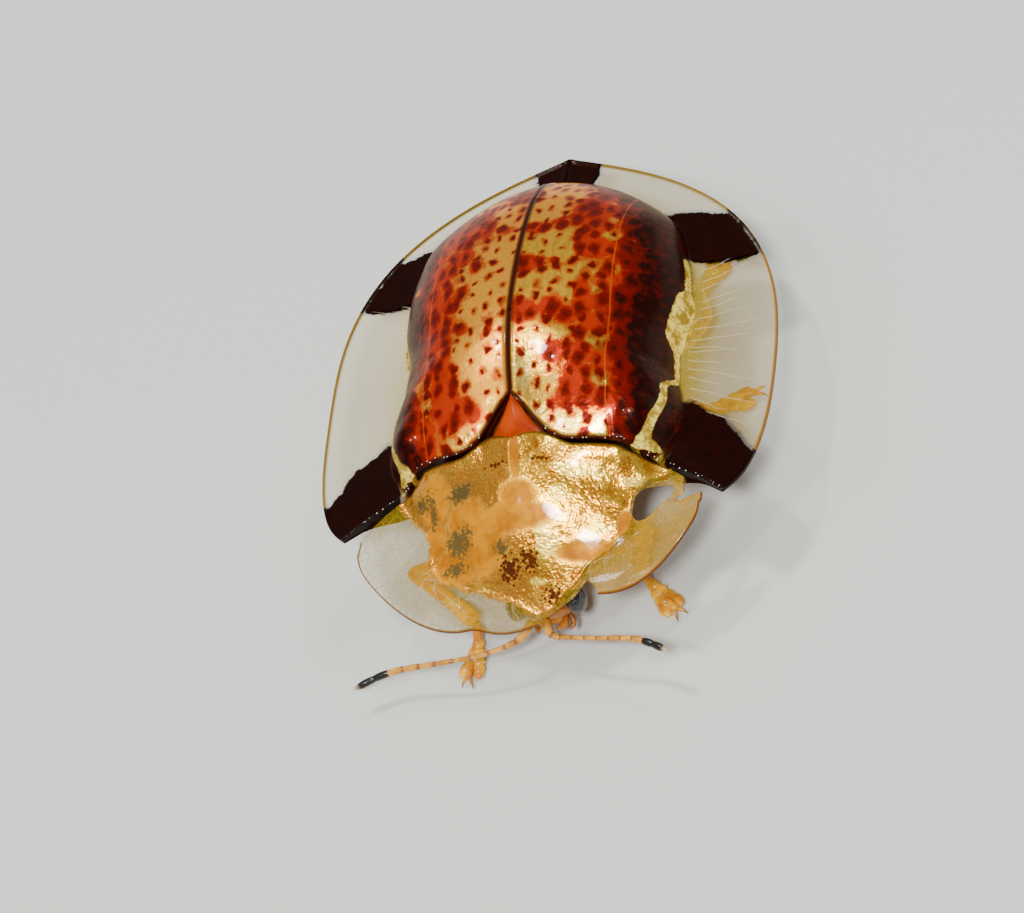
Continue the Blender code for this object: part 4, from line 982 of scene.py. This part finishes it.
def make_air_tubes(side_name):
    """Wavy white air tubes that run out from the dome inside the clear brim."""
    side = 1 if side_name == "left" else -1
    rng = np.random.default_rng(5 if side > 0 else 6)
    heap = Heap()
    for angle in np.linspace(-26, 34, 17):
        turn = math.radians(angle + rng.uniform(-1.4, 1.4))
        start = float(disc_reach(math.degrees(turn))) * 1.045
        span = (float(side_reach(math.degrees(turn))) - start) * rng.uniform(0.40, 0.85)
        t = np.linspace(0, 1, 26)
        wave = 0.022 * np.sin(t * rng.uniform(6, 10) + rng.uniform(0, 6)) + 0.012 * np.sin(t * 17 + rng.uniform(0, 6))
        aside = wave * t ** 0.5 + rng.uniform(-0.10, 0.16) * t ** 1.5
        bearing = turn + aside / (start + t * span)
        x, y = (start + t * span) * np.cos(bearing), CREST_Y + (start + t * span) * np.sin(bearing)
        heap.add(thread(np.stack([side * x, y, shell_height(x, y) - 0.045], axis=1), 0.010, 0.004))
    return heap.piece(f"air_tubes_{side_name}", air.material, "wing_case", "dark")


air_tubes = [make_air_tubes(side_name) for side_name in ("left", "right")]


def granule_tree():
    """Small round granules at even steps along a line, a few left out."""
    tree = Growth("granules", {"Step": ("Float", 0.085 * MM), "Radius": ("Float", 0.017 * MM),
                               "Share kept": ("Float", 0.34), "Seed": ("Int", 4)})
    line = tree.node("GeometryNodeMeshToCurve", {}, {"Mesh": tree.given("Geometry")})
    line = tree.node("GeometryNodeResampleCurve", {"mode": "LENGTH"}, {"Curve": line, "Length": tree.given("Step")})
    ball = tree.node("GeometryNodeMeshUVSphere", {}, {"Segments": 8, "Rings": 5, "Radius": tree.given("Radius")})
    kept = tree.node("FunctionNodeRandomValue", {"data_type": "BOOLEAN"},
                     {6: tree.given("Share kept"), 8: tree.given("Seed")}, 3)
    size = tree.node("FunctionNodeRandomValue", {"data_type": "FLOAT"}, {2: 0.5, 3: 1.1}, 1)
    stand = tree.node("GeometryNodeInstanceOnPoints", {},
                      {"Points": line, "Selection": kept, "Instance": ball, "Scale": size})
    tree.end(stand, granule.material)
    return tree


granule = Paint("white_granule", roughness=0.2, coat=1.0)
granule.set({"Base Color": granule.mix(granule.noise(0.1), (0.70, 0.62, 0.50), (0.95, 0.93, 0.88))})
granules = granule_tree()


def make_granules(side_name, inset, seed):
    """White granules on the dark bead along a wing case's base."""
    side = 1 if side_name == "left" else -1
    base = smooth_line(SHELL_BASE[2:], 60)
    x, y = base[:, 0], base[:, 1] + inset
    z = shell_height(x, y) + 0.075 * math.exp(-(inset / 0.075) ** 2) + 0.004
    guide = bpy.data.meshes.new("granule_line")
    spots = in_part(np.stack([side * x, y, z], axis=1)) * MM
    guide.from_pydata(spots.tolist(), [(k, k + 1) for k in range(len(spots) - 1)], [])
    made = granules.grow(guide, {"Seed": seed})
    made.shade_smooth()
    return finish_piece(f"granules_{side_name}_{seed}", made, granule.material)


for side_name in ("left", "right"):
    for seed, inset in ((1, 0.02), (2, 0.09)):
        make_granules(side_name, inset, seed)


# Shield: a gold dome over the first body segment that runs out into a clear brim.
# Its left brim is torn and bent up, as in life after a fight or a hard landing.

SHIELD_FRONT = ((0.0, FRONT_Y), (0.45, -6.55), (1.10, -6.50), (1.60, -6.36), (2.00, -6.34), (2.72, -6.17),
                (3.46, -5.74), (4.05, -5.17), (4.40, -4.66), (4.47, -4.34))
SHIELD_TOP, SHIELD_CORNER_RISE = EDGE_CLEARANCE + 2.42, 0.72
SHIELD_SIDE_REACH, SHIELD_FRONT_REACH = 3.4, 3.3
TORN_LIFT, TORN_INSET = 0.42, 0.30
SHIELD_THICKNESS = 0.13
BACK_RISE = ((0.3, 0.76, 1.3, 1.8, 2.4, 3.0, 4.2, 4.4), (0.14, 0.12, 0.22, 0.37, 0.49, 0.14, 0.13, 0.08))
FRONT_NOTCH = ((0.10, -6.9), (0.10, -6.44), (0.56, -6.25), (0.98, -6.03), (1.32, -5.74), (1.52, -5.88),
               (1.62, -6.20), (1.70, -6.9))
BRIM_HOLE = ((2.52, -4.42), (2.60, -3.98), (2.92, -3.72), (3.42, -3.72), (3.52, -3.92), (3.22, -4.30), (2.95, -4.56),
             (2.66, -4.60))
BRIM_BREAK = ((3.78, -3.2), (3.74, -3.92), (3.56, -4.22), (3.72, -4.30), (4.20, -4.06), (5.2, -4.10), (5.2, -3.2))


def shield_height(x, y):
    x = np.abs(x)
    back = np.minimum(y - SHIELD_BACK_Y, 0.0)
    t = np.clip(np.hypot(x / SHIELD_SIDE_REACH, back / SHIELD_FRONT_REACH), 0, 1)
    forward = np.clip(-back / (SHIELD_BACK_Y - FRONT_Y), 0, 1.05)
    brim = EDGE_CLEARANCE + SHIELD_CORNER_RISE * (1 - forward ** 2.2) + 0.16 * (4.5 - np.sqrt(x ** 2 + 0.16))
    brim = brim - 0.62 * forward ** 3
    return brim + (SHIELD_TOP - EDGE_CLEARANCE - SHIELD_CORNER_RISE - 0.72) * (1 - t ** 2) ** 1.65


def shield_outline(count):
    """Back and front edge of the shield's left half."""
    base = smooth_line(SHELL_BASE[2:-1], 60)
    way = np.gradient(base, axis=0)
    ahead = np.stack([way[:, 1], -way[:, 0]], axis=1) / np.linalg.norm(way, axis=1)[:, None]
    clear = (base + ahead * 0.05)[::12]
    clear = clear[clear[:, 0] < 3.9]
    back = smooth_line([(0.0, SHIELD_BACK_Y - 0.02), *clear, (4.36, -4.06)], count)
    return back, smooth_line(SHIELD_FRONT, count)


def torn_bend(x, y):
    out = np.clip((np.hypot(x / 1.08, y - SHIELD_BACK_Y) - 2.35) / 1.5, 0, 1)
    beside = np.clip((x - 0.1) / 1.4, 0, 1)
    ahead = np.clip((-3.55 - y) / 0.9, 0, 1)
    return (out * beside * ahead) ** 1.2


def block(outline, low, high):
    """An upright block of the given plan outline, for cutting."""
    mesh = bpy.data.meshes.new("cutter")
    work = bmesh.new()
    corners = [work.verts.new(Vector((x, y + BODY_SHIFT_Y, low)) * MM) for x, y in outline]
    face = work.faces.new(corners)
    grown = bmesh.ops.extrude_face_region(work, geom=[face])["geom"]
    tops = [v for v in grown if isinstance(v, bmesh.types.BMVert)]
    bmesh.ops.translate(work, verts=tops, vec=(0, 0, (high - low) * MM))
    bmesh.ops.recalc_face_normals(work, faces=work.faces)
    work.to_mesh(mesh)
    work.free()
    made = bpy.data.objects.new("cutter", mesh)
    bpy.context.scene.collection.objects.link(made)
    return made


gilt = Paint("gilt_shield", roughness=0.22, coat=1.0, coat_roughness=0.06)
gilt.set({"Specular IOR Level": 0.08, "Specular Tint": (1.0, 0.80, 0.55), "Coat IOR": 1.4})
g_spark = gilt.noise(0.045, 2.0, 0.6)
g_fine = gilt.noise(0.10, 5.0, 0.7)
g_mid = gilt.noise(0.36, 3.0, 0.6)
g_broad = gilt.noise(0.60, 4.0, 0.65)
g_clear, g_rim, g_amber, g_smudge, g_grain, g_warm, g_flap = (
    gilt.read(key) for key in ("clear", "rim", "amber", "smudge", "grain", "warm", "flap"))

# Gold leaf: yellow on the left, pinkish on the right and orange at the very front, crumpled, with darker veins
leaf = gilt.mix(gilt.step(g_broad, 0.36, 0.60), (0.56, 0.18, 0.002), (0.88, 0.40, 0.008))
leaf = gilt.mix(g_warm, leaf, (0.92, 0.32, 0.020))
leaf = gilt.mix(gilt.step(g_mid, 0.45, 0.66) * (1 - g_warm * 0.6), leaf, (1.0, 0.58, 0.035))
leaf = gilt.mix(gilt.step(g_spark, 0.54, 0.68), leaf, (1.0, 0.63, 0.07))
leaf = gilt.mix(gilt.step(g_fine, 0.53, 0.68) * 0.8, leaf, (0.46, 0.14, 0.004))
# Painted highlights: pale gold spots where the lamps' glints fall
is_painted_highlight = gilt.step(gilt.read("painted_highlight") + (g_mid - 0.5) * 0.9 + (g_fine - 0.5) * 1.0, 0.46, 0.72)
leaf = gilt.mix(is_painted_highlight * 0.85, leaf, (1.0, 0.70, 0.09))
is_amber = gilt.step(g_amber + (g_mid - 0.5) * 0.40 + (g_fine - 0.5) * 0.25, 0.26, 0.66)
leaf = gilt.mix(is_amber, leaf, gilt.mix(gilt.step(g_broad, 0.35, 0.65), (0.36, 0.108, 0.0001), (0.55, 0.210, 0.0005)))
is_smudge = gilt.step(g_smudge + (g_fine - 0.5) * 2.6 + (g_mid - 0.5) * 0.8, 0.48, 0.76)
leaf = gilt.mix(is_smudge * 0.95, leaf, (0.085, 0.062, 0.020))
is_grain = gilt.step(g_grain + (gilt.cells(0.085) - 0.35) * -1.1 + (g_fine - 0.5) * 1.2, 0.38, 0.60)
leaf = gilt.mix(is_grain, leaf, gilt.mix(g_fine, (0.018, 0.004, 0.001), (0.16, 0.030, 0.002)))

# Clear horn with a comb of pale cell walls and a thin red-brown rim
g_comb = 1 - gilt.step(gilt.cells(0.19, "DISTANCE_TO_EDGE"), 0.0, 0.08)
brim_tone = gilt.mix(g_comb, (0.42, 0.30, 0.010), (0.40, 0.24, 0.020))
brim_tone = gilt.mix(g_flap, brim_tone, gilt.mix(g_mid, (0.32, 0.16, 0.004), (0.52, 0.30, 0.015)))
brim_tone = gilt.mix(g_rim, brim_tone, (0.15, 0.030, 0.002))
is_clear = gilt.step(g_clear + (g_broad - 0.5) * 0.40 + (g_fine - 0.5) * 0.22, -0.03, 0.06)
gilt.set({"Base Color": gilt.mix(is_clear, leaf, brim_tone)})
g_film = gilt.step(gilt.facing(0.3) * 0.20 + 0.22 + g_comb * 0.22 + g_flap * 0.20 + g_rim * 0.7, 0.0, 1.0)
gilt.set({"Alpha": 1 - is_clear * (1 - g_film)})
gilt.set({"Metallic": (1 - is_clear) * (1 - is_amber * 0.92) * (1 - is_smudge * 0.5)
                       * (1 - is_grain * 0.6) * (0.88 - is_painted_highlight * 0.30)})
gilt.set({"Roughness": 0.09 + g_fine * 0.24 + is_amber * 0.15})
gilt.set({"Coat Weight": (1 - is_clear * 0.6) * (1 - is_amber * 0.93) * (1 - gilt.facing(0.5) * 0.6)})
g_crumple = (g_fine * 0.6 + g_mid * 6.0 + g_spark * 0.6) * (1 - is_clear) * (1 - is_amber * 0.75)
gilt.bump(g_crumple + g_comb * is_clear * 0.5, 0.012, 0.70)

# The gold and amber part of the shield in plan; past it the horn is clear
SHIELD_BODY = ((3.60, -3.2), (3.30, -3.52), (2.95, -3.62), (2.62, -3.90), (2.62, -4.40), (2.55, -4.85), (2.10, -5.25),
               (1.50, -5.62), (1.00, -5.98), (0.50, -6.32), (0.00, -6.38), (-0.35, -6.10), (-0.95, -5.85), (-1.60, -5.62),
               (-2.30, -5.35), (-2.55, -4.95), (-2.48, -4.50), (-2.72, -4.05), (-3.15, -3.60), (-3.40, -3.2),
               (-2.0, -2.5), (2.0, -2.5))
# Spots on the shield: middle, then the half-widths across and along
AMBER_POOLS = ((0.05, -3.30, 0.13, 0.60), (0.05, -4.15, 0.50, 0.38), (-0.15, -4.55, 1.10, 0.34), (-1.15, -4.90, 0.80, 0.62),
               (-1.80, -5.10, 0.70, 0.45), (-1.40, -4.25, 0.60, 0.36), (-2.20, -3.70, 0.50, 0.50), (1.60, -5.28, 0.95, 0.24),
               (2.45, -4.75, 0.20, 0.40), (-2.30, -4.50, 0.40, 0.40))
SMUDGES = ((-1.45, -3.75, 0.44, 0.26), (-1.62, -4.72, 0.44, 0.38), (-2.32, -3.85, 0.14, 0.50), (-1.85, -5.18, 0.40, 0.16),
           (-2.60, -3.60, 0.30, 0.20), (-0.55, -5.05, 0.22, 0.16))
GRAINS = ((-0.40, -5.48, 0.38, 0.36), (0.12, -5.35, 0.30, 0.30), (0.55, -6.05, 0.35, 0.22), (-0.45, -3.40, 0.38, 0.07),
          (0.55, -3.36, 0.40, 0.07))
# Painted highlights: where the gold leaf is painted pale, standing in for the lamps' glints
PAINTED_HIGHLIGHTS = ((0.62, -4.95, 0.42, 0.45), (1.80, -4.80, 0.42, 0.22), (1.45, -3.58, 0.60, 0.24), (2.60, -3.72, 0.34, 0.14),
             (0.95, -4.15, 0.30, 0.24), (0.25, -5.75, 0.26, 0.12))


def shield_point(x, y, sink=0.0):
    """A place on the shield's upper face, with the torn side bent up and in."""
    bend = torn_bend(x, y)
    inset = TORN_INSET * bend / np.maximum(np.hypot(x, y - SHIELD_BACK_Y), 1e-6)
    return np.stack([x - x * inset, y - (y - SHIELD_BACK_Y) * inset, shield_height(x, y) + TORN_LIFT * bend - sink], axis=-1)


def make_shield():
    across, deep = 261, 110
    half = across // 2 + 1
    back, front = shield_outline(half)
    back = np.concatenate([back[::-1] * (-1, 1), back[1:]])
    front = np.concatenate([front[::-1] * (-1, 1), front[1:]])
    t = (np.linspace(0, 1, deep) ** 0.8)[None, :, None]
    plan = back[:, None] + (front - back)[:, None] * t
    x, y = plan[..., 0].ravel(), plan[..., 1].ravel()
    front_line = np.concatenate([front, back[[-1]]])
    to_rim = near_line(x, y, np.concatenate([back[[0]], front_line]))
    to_back = near_line(x, y, back)
    rise = np.interp(np.abs(x), *BACK_RISE) * np.exp(-(to_back / 0.45) ** 2)
    upper = shield_point(x, y)
    upper[:, 2] += rise + 0.02 * np.exp(-((to_rim - 0.03) / 0.03) ** 2) + 0.02 * np.exp(-(to_back / 0.05) ** 2)
    clear = -inside(x, y, SHIELD_BODY)
    upper[:, 2] += 0.03 * np.exp(-(clear / 0.07) ** 2)
    warm = np.clip((1 - smooth_step(x, -0.4, 0.4)) * 0.8 + smooth_step(-y, 5.7, 6.2), 0, 1)
    values = {"clear": clear, "amber": spot_depth(x, y, AMBER_POOLS), "smudge": spot_depth(x, y, SMUDGES),
              "grain": spot_depth(x, y, GRAINS), "painted_highlight": spot_depth(x, y, PAINTED_HIGHLIGHTS), "warm": warm, "rim": np.exp(-(to_rim / 0.028) ** 4),
              "flap": smooth_step(x, 1.2, 1.8) * smooth_step(clear, 0.05, 0.3)}
    lower = upper.copy()
    lower[:, 2] -= RIM_THICKNESS + (SHIELD_THICKNESS - RIM_THICKNESS) * smooth_step(to_rim, 0.02, 0.5)
    count = len(upper)
    quads = grid_quads(across, deep)
    loop = np.concatenate([np.arange(0, deep), np.arange(1, across) * deep + deep - 1,
                           (across - 1) * deep + np.arange(deep - 2, -1, -1), np.arange(across - 2, 0, -1) * deep])
    after = np.roll(loop, -1)
    wall = np.stack([after, loop, loop + count, after + count], axis=-1)
    faces = [quads, quads[:, ::-1] + count, wall]
    both = {key: np.concatenate([v, v]) for key, v in values.items()}
    piece = mesh_piece("shield_brim", in_part(np.concatenate([upper, lower])), faces, gilt.material, both)
    tools = bpy.data.collections.new("shield_cutters")
    for outline in (FRONT_NOTCH, smooth_line([*BRIM_HOLE, BRIM_HOLE[0]], 33)[:-1], BRIM_BREAK):
        cutter = block(outline, 0.0, 6.0)
        bpy.context.scene.collection.objects.unlink(cutter)
        tools.objects.link(cutter)
    cut = piece.modifiers.new("Tear", "BOOLEAN")
    cut.operation = "DIFFERENCE"
    cut.operand_type = "COLLECTION"
    cut.collection = tools
    cut.solver = "EXACT"
    graph = bpy.context.evaluated_depsgraph_get()
    graph.update()
    torn = bpy.data.meshes.new_from_object(piece.evaluated_get(graph), depsgraph=graph)
    piece.modifiers.remove(cut)
    piece.data = torn
    torn.materials.clear()
    torn.materials.append(gilt.material)
    for cutter in list(tools.objects):
        bpy.data.objects.remove(cutter)
    bpy.data.collections.remove(tools)
    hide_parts("pronotum")
    return piece


shield = make_shield()


def make_shield_threads():
    """Pale threads of air tube that wander out of the gold into the clear brim."""
    rng = np.random.default_rng(23)
    back, front = shield_outline(60)
    outline = np.concatenate([back[::-1] * (-1, 1), back[1:], front[::-1], front[1:] * (-1, 1)])
    heap = Heap()
    for k in range(130):
        spot = np.array([rng.uniform(-3.4, 2.6), rng.uniform(-6.4, -4.2)])
        heading = rng.uniform(-math.pi, math.pi)
        path = [spot]
        for _ in range(int(rng.integers(8, 22))):
            heading += rng.normal(0, 0.42)
            spot = spot + 0.05 * np.array([math.cos(heading), math.sin(heading)])
            path.append(spot)
        px, py = np.array(path).T
        room = (inside(px, py, outline) > 0.12) & (inside(px, py, SHIELD_BODY) < 0.05) & (inside(px, py, SHIELD_BODY) > -0.75)
        room &= np.max([inside(px, py, hole) for hole in (FRONT_NOTCH, BRIM_HOLE, BRIM_BREAK)], axis=0) < -0.06
        if room[0]:
            keep = len(px) if room.all() else int(np.argmin(room))
            if keep > 5:
                heap.add(thread(shield_point(px[:keep], py[:keep], 0.045), 0.008, 0.004))
    return heap.piece("shield_threads", air.material, "shield", "dark")


shield_threads = make_shield_threads()


def make_front_ring():
    rings, seams = [], []
    for y in np.linspace(-2.86, -5.05, 30):
        t = (-2.86 - y) / 2.19
        width = 2.15 * (1 - 0.55 * t ** 2.0)
        top = float(shield_height(0.0, y)) - 0.55
        middle = float(shield_height(width, y)) - 0.45
        rings.append(horn_ring(y, width, top, BELLY + 0.12 + 0.25 * t ** 2, middle))
        seams.append(1.0 if t > 0.94 or t < 0.04 else 0.0)
    return horn_piece("front_ring", rings, seams, [])


front_ring = make_front_ring()

# Scutellum: a small smooth triangle between the roots of the wing cases, orange-brown with dark rims.

chip = Paint("orange_chip", roughness=0.5, coat=0.06, coat_roughness=0.10)
chip.set({"Specular IOR Level": 0.04})
chip_edge = chip.read("edge")
chip_tone = chip.mix(chip.step(chip.noise(0.5), 0.35, 0.7), (0.27, 0.020, 0.0001), (0.41, 0.046, 0.0002))
chip.set({"Base Color": chip.mix(chip_edge, chip_tone, (0.05, 0.010, 0.004))})
chip.bump(chip.noise(0.12), 0.006, 0.5)


def make_scutellum():
    rows, across = 40, 41
    t = np.linspace(0, 1, rows)[:, None]
    s = np.linspace(-1, 1, across)[None, :]
    y = (SHIELD_BACK_Y + 0.02) + (SCUTELLUM_TIP_Y + 0.02 - SHIELD_BACK_Y) * t + 0 * s
    width = np.interp(y[:, 0], (-2.86, -2.70, -2.21, -1.80), (0.80, 0.72, 0.30, 0.03))[:, None]
    x = s * width
    z = shell_height(0 * x, y) + 0.01 - 0.10 * s ** 2 - 0.02 * (1 - t)
    edge = np.maximum(np.abs(s) ** 14, smooth_step(t, 0.93, 1.0)) + 0 * t
    upper = np.stack([x, y, z], axis=-1).reshape(-1, 3)
    lower = upper - (0, 0, 0.35)
    count = len(upper)
    quads = grid_quads(rows, across)
    loop = np.concatenate([np.arange(0, across), np.arange(1, rows) * across + across - 1,
                           (rows - 1) * across + np.arange(across - 2, -1, -1), np.arange(rows - 2, 0, -1) * across])
    after = np.roll(loop, -1)
    faces = [quads[:, ::-1], quads + count, np.stack([loop, after, after + count, loop + count], axis=-1)]
    values = {"edge": np.concatenate([edge.ravel(), edge.ravel()])}
    piece = mesh_piece("scutellum_chip", in_part(np.concatenate([upper, lower])), faces, chip.material,
                       values)
    work = bmesh.new()
    work.from_mesh(piece.data)
    bmesh.ops.recalc_face_normals(work, faces=work.faces)
    work.to_mesh(piece.data)
    work.free()
    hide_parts("scutellum")
    return piece


scutellum = make_scutellum()

# Floor, lights and camera: a pale table, soft studio lamps and a long lens at the photograph's angle.

floor_mesh = bpy.data.meshes.new("floor")
work = bmesh.new()
bmesh.ops.create_grid(work, x_segments=1, y_segments=1, size=0.25)
work.to_mesh(floor_mesh)
work.free()
floor = bpy.data.objects.new("floor", floor_mesh)
bpy.context.scene.collection.objects.link(floor)
table = Paint("pale_table", roughness=0.6)
table.set({"Base Color": (0.60, 0.61, 0.56)})
floor_mesh.materials.append(table.material)

world = bpy.data.worlds.new("studio")
bpy.context.scene.world = world
world.use_nodes = True
world.node_tree.nodes["Background"].inputs["Color"].default_value = (0.80, 0.82, 0.84, 1.0)
world.node_tree.nodes["Background"].inputs["Strength"].default_value = 0.38


def lamp(name, azimuth, elevation, distance, size, power, mirrored):
    """A round soft lamp that looks at the beetle; azimuth 0 is in front of the head."""
    a, e = math.radians(azimuth), math.radians(elevation)
    way = Vector((math.sin(a) * math.cos(e), -math.cos(a) * math.cos(e), math.sin(e)))
    data = bpy.data.lights.new(name, "AREA")
    data.shape = "DISK"
    data.size = size * MM
    data.energy = power
    made = bpy.data.objects.new(name, data)
    bpy.context.scene.collection.objects.link(made)
    made.location = Vector((0, 0, 2.5 * MM)) + way * distance * MM
    made.rotation_mode = "QUATERNION"
    made.rotation_quaternion = way.to_track_quat("Z", "Y")
    made.visible_glossy = mirrored
    return made


lamp("key", 20, 56, 300, 46, 0.95, True)
lamp("front", -28, 60, 300, 30, 0.22, True)
lamp("glint", -137, 72, 300, 34, 0.40, True)
lamp("fill", -60, 45, 300, 90, 0.10, False)
lamp("rim", 140, 55, 300, 80, 0.20, False)

AZIMUTH, ELEVATION, ROLL = 31.77, 50.70, -33.64
CAMERA_DISTANCE = 140.0
FOCUS_PIXELS = 5896.8
FRAME_WIDTH, FRAME_HEIGHT, SENSOR_MM = 1024, 913, 36.0
AIM = (-1.0713, -1.5326)
a, e, roll = (math.radians(v) for v in (AZIMUTH, ELEVATION, ROLL))
back = np.array([math.sin(a) * math.cos(e), -math.cos(a) * math.cos(e), math.sin(e)])
right = unit(np.cross((0, 0, 1), back))
up = np.cross(back, right)
turned_right = math.cos(roll) * right + math.sin(roll) * up
turned_up = math.cos(roll) * up - math.sin(roll) * right
where = AIM[0] * turned_right + AIM[1] * turned_up + CAMERA_DISTANCE * back + (0, BODY_SHIFT_Y, EDGE_CLEARANCE)
lens = bpy.data.cameras.new("camera")
lens.sensor_fit = "HORIZONTAL"
lens.sensor_width = SENSOR_MM
lens.lens = FOCUS_PIXELS / FRAME_WIDTH * SENSOR_MM
lens.clip_start = 0.005
lens.clip_end = 5.0
camera = bpy.data.objects.new("camera", lens)
bpy.context.scene.collection.objects.link(camera)
camera.matrix_world = Matrix.Translation(Vector(where) * MM) @ Matrix(np.stack([turned_right, turned_up, back], axis=1).tolist()).to_4x4()
bpy.context.scene.camera = camera
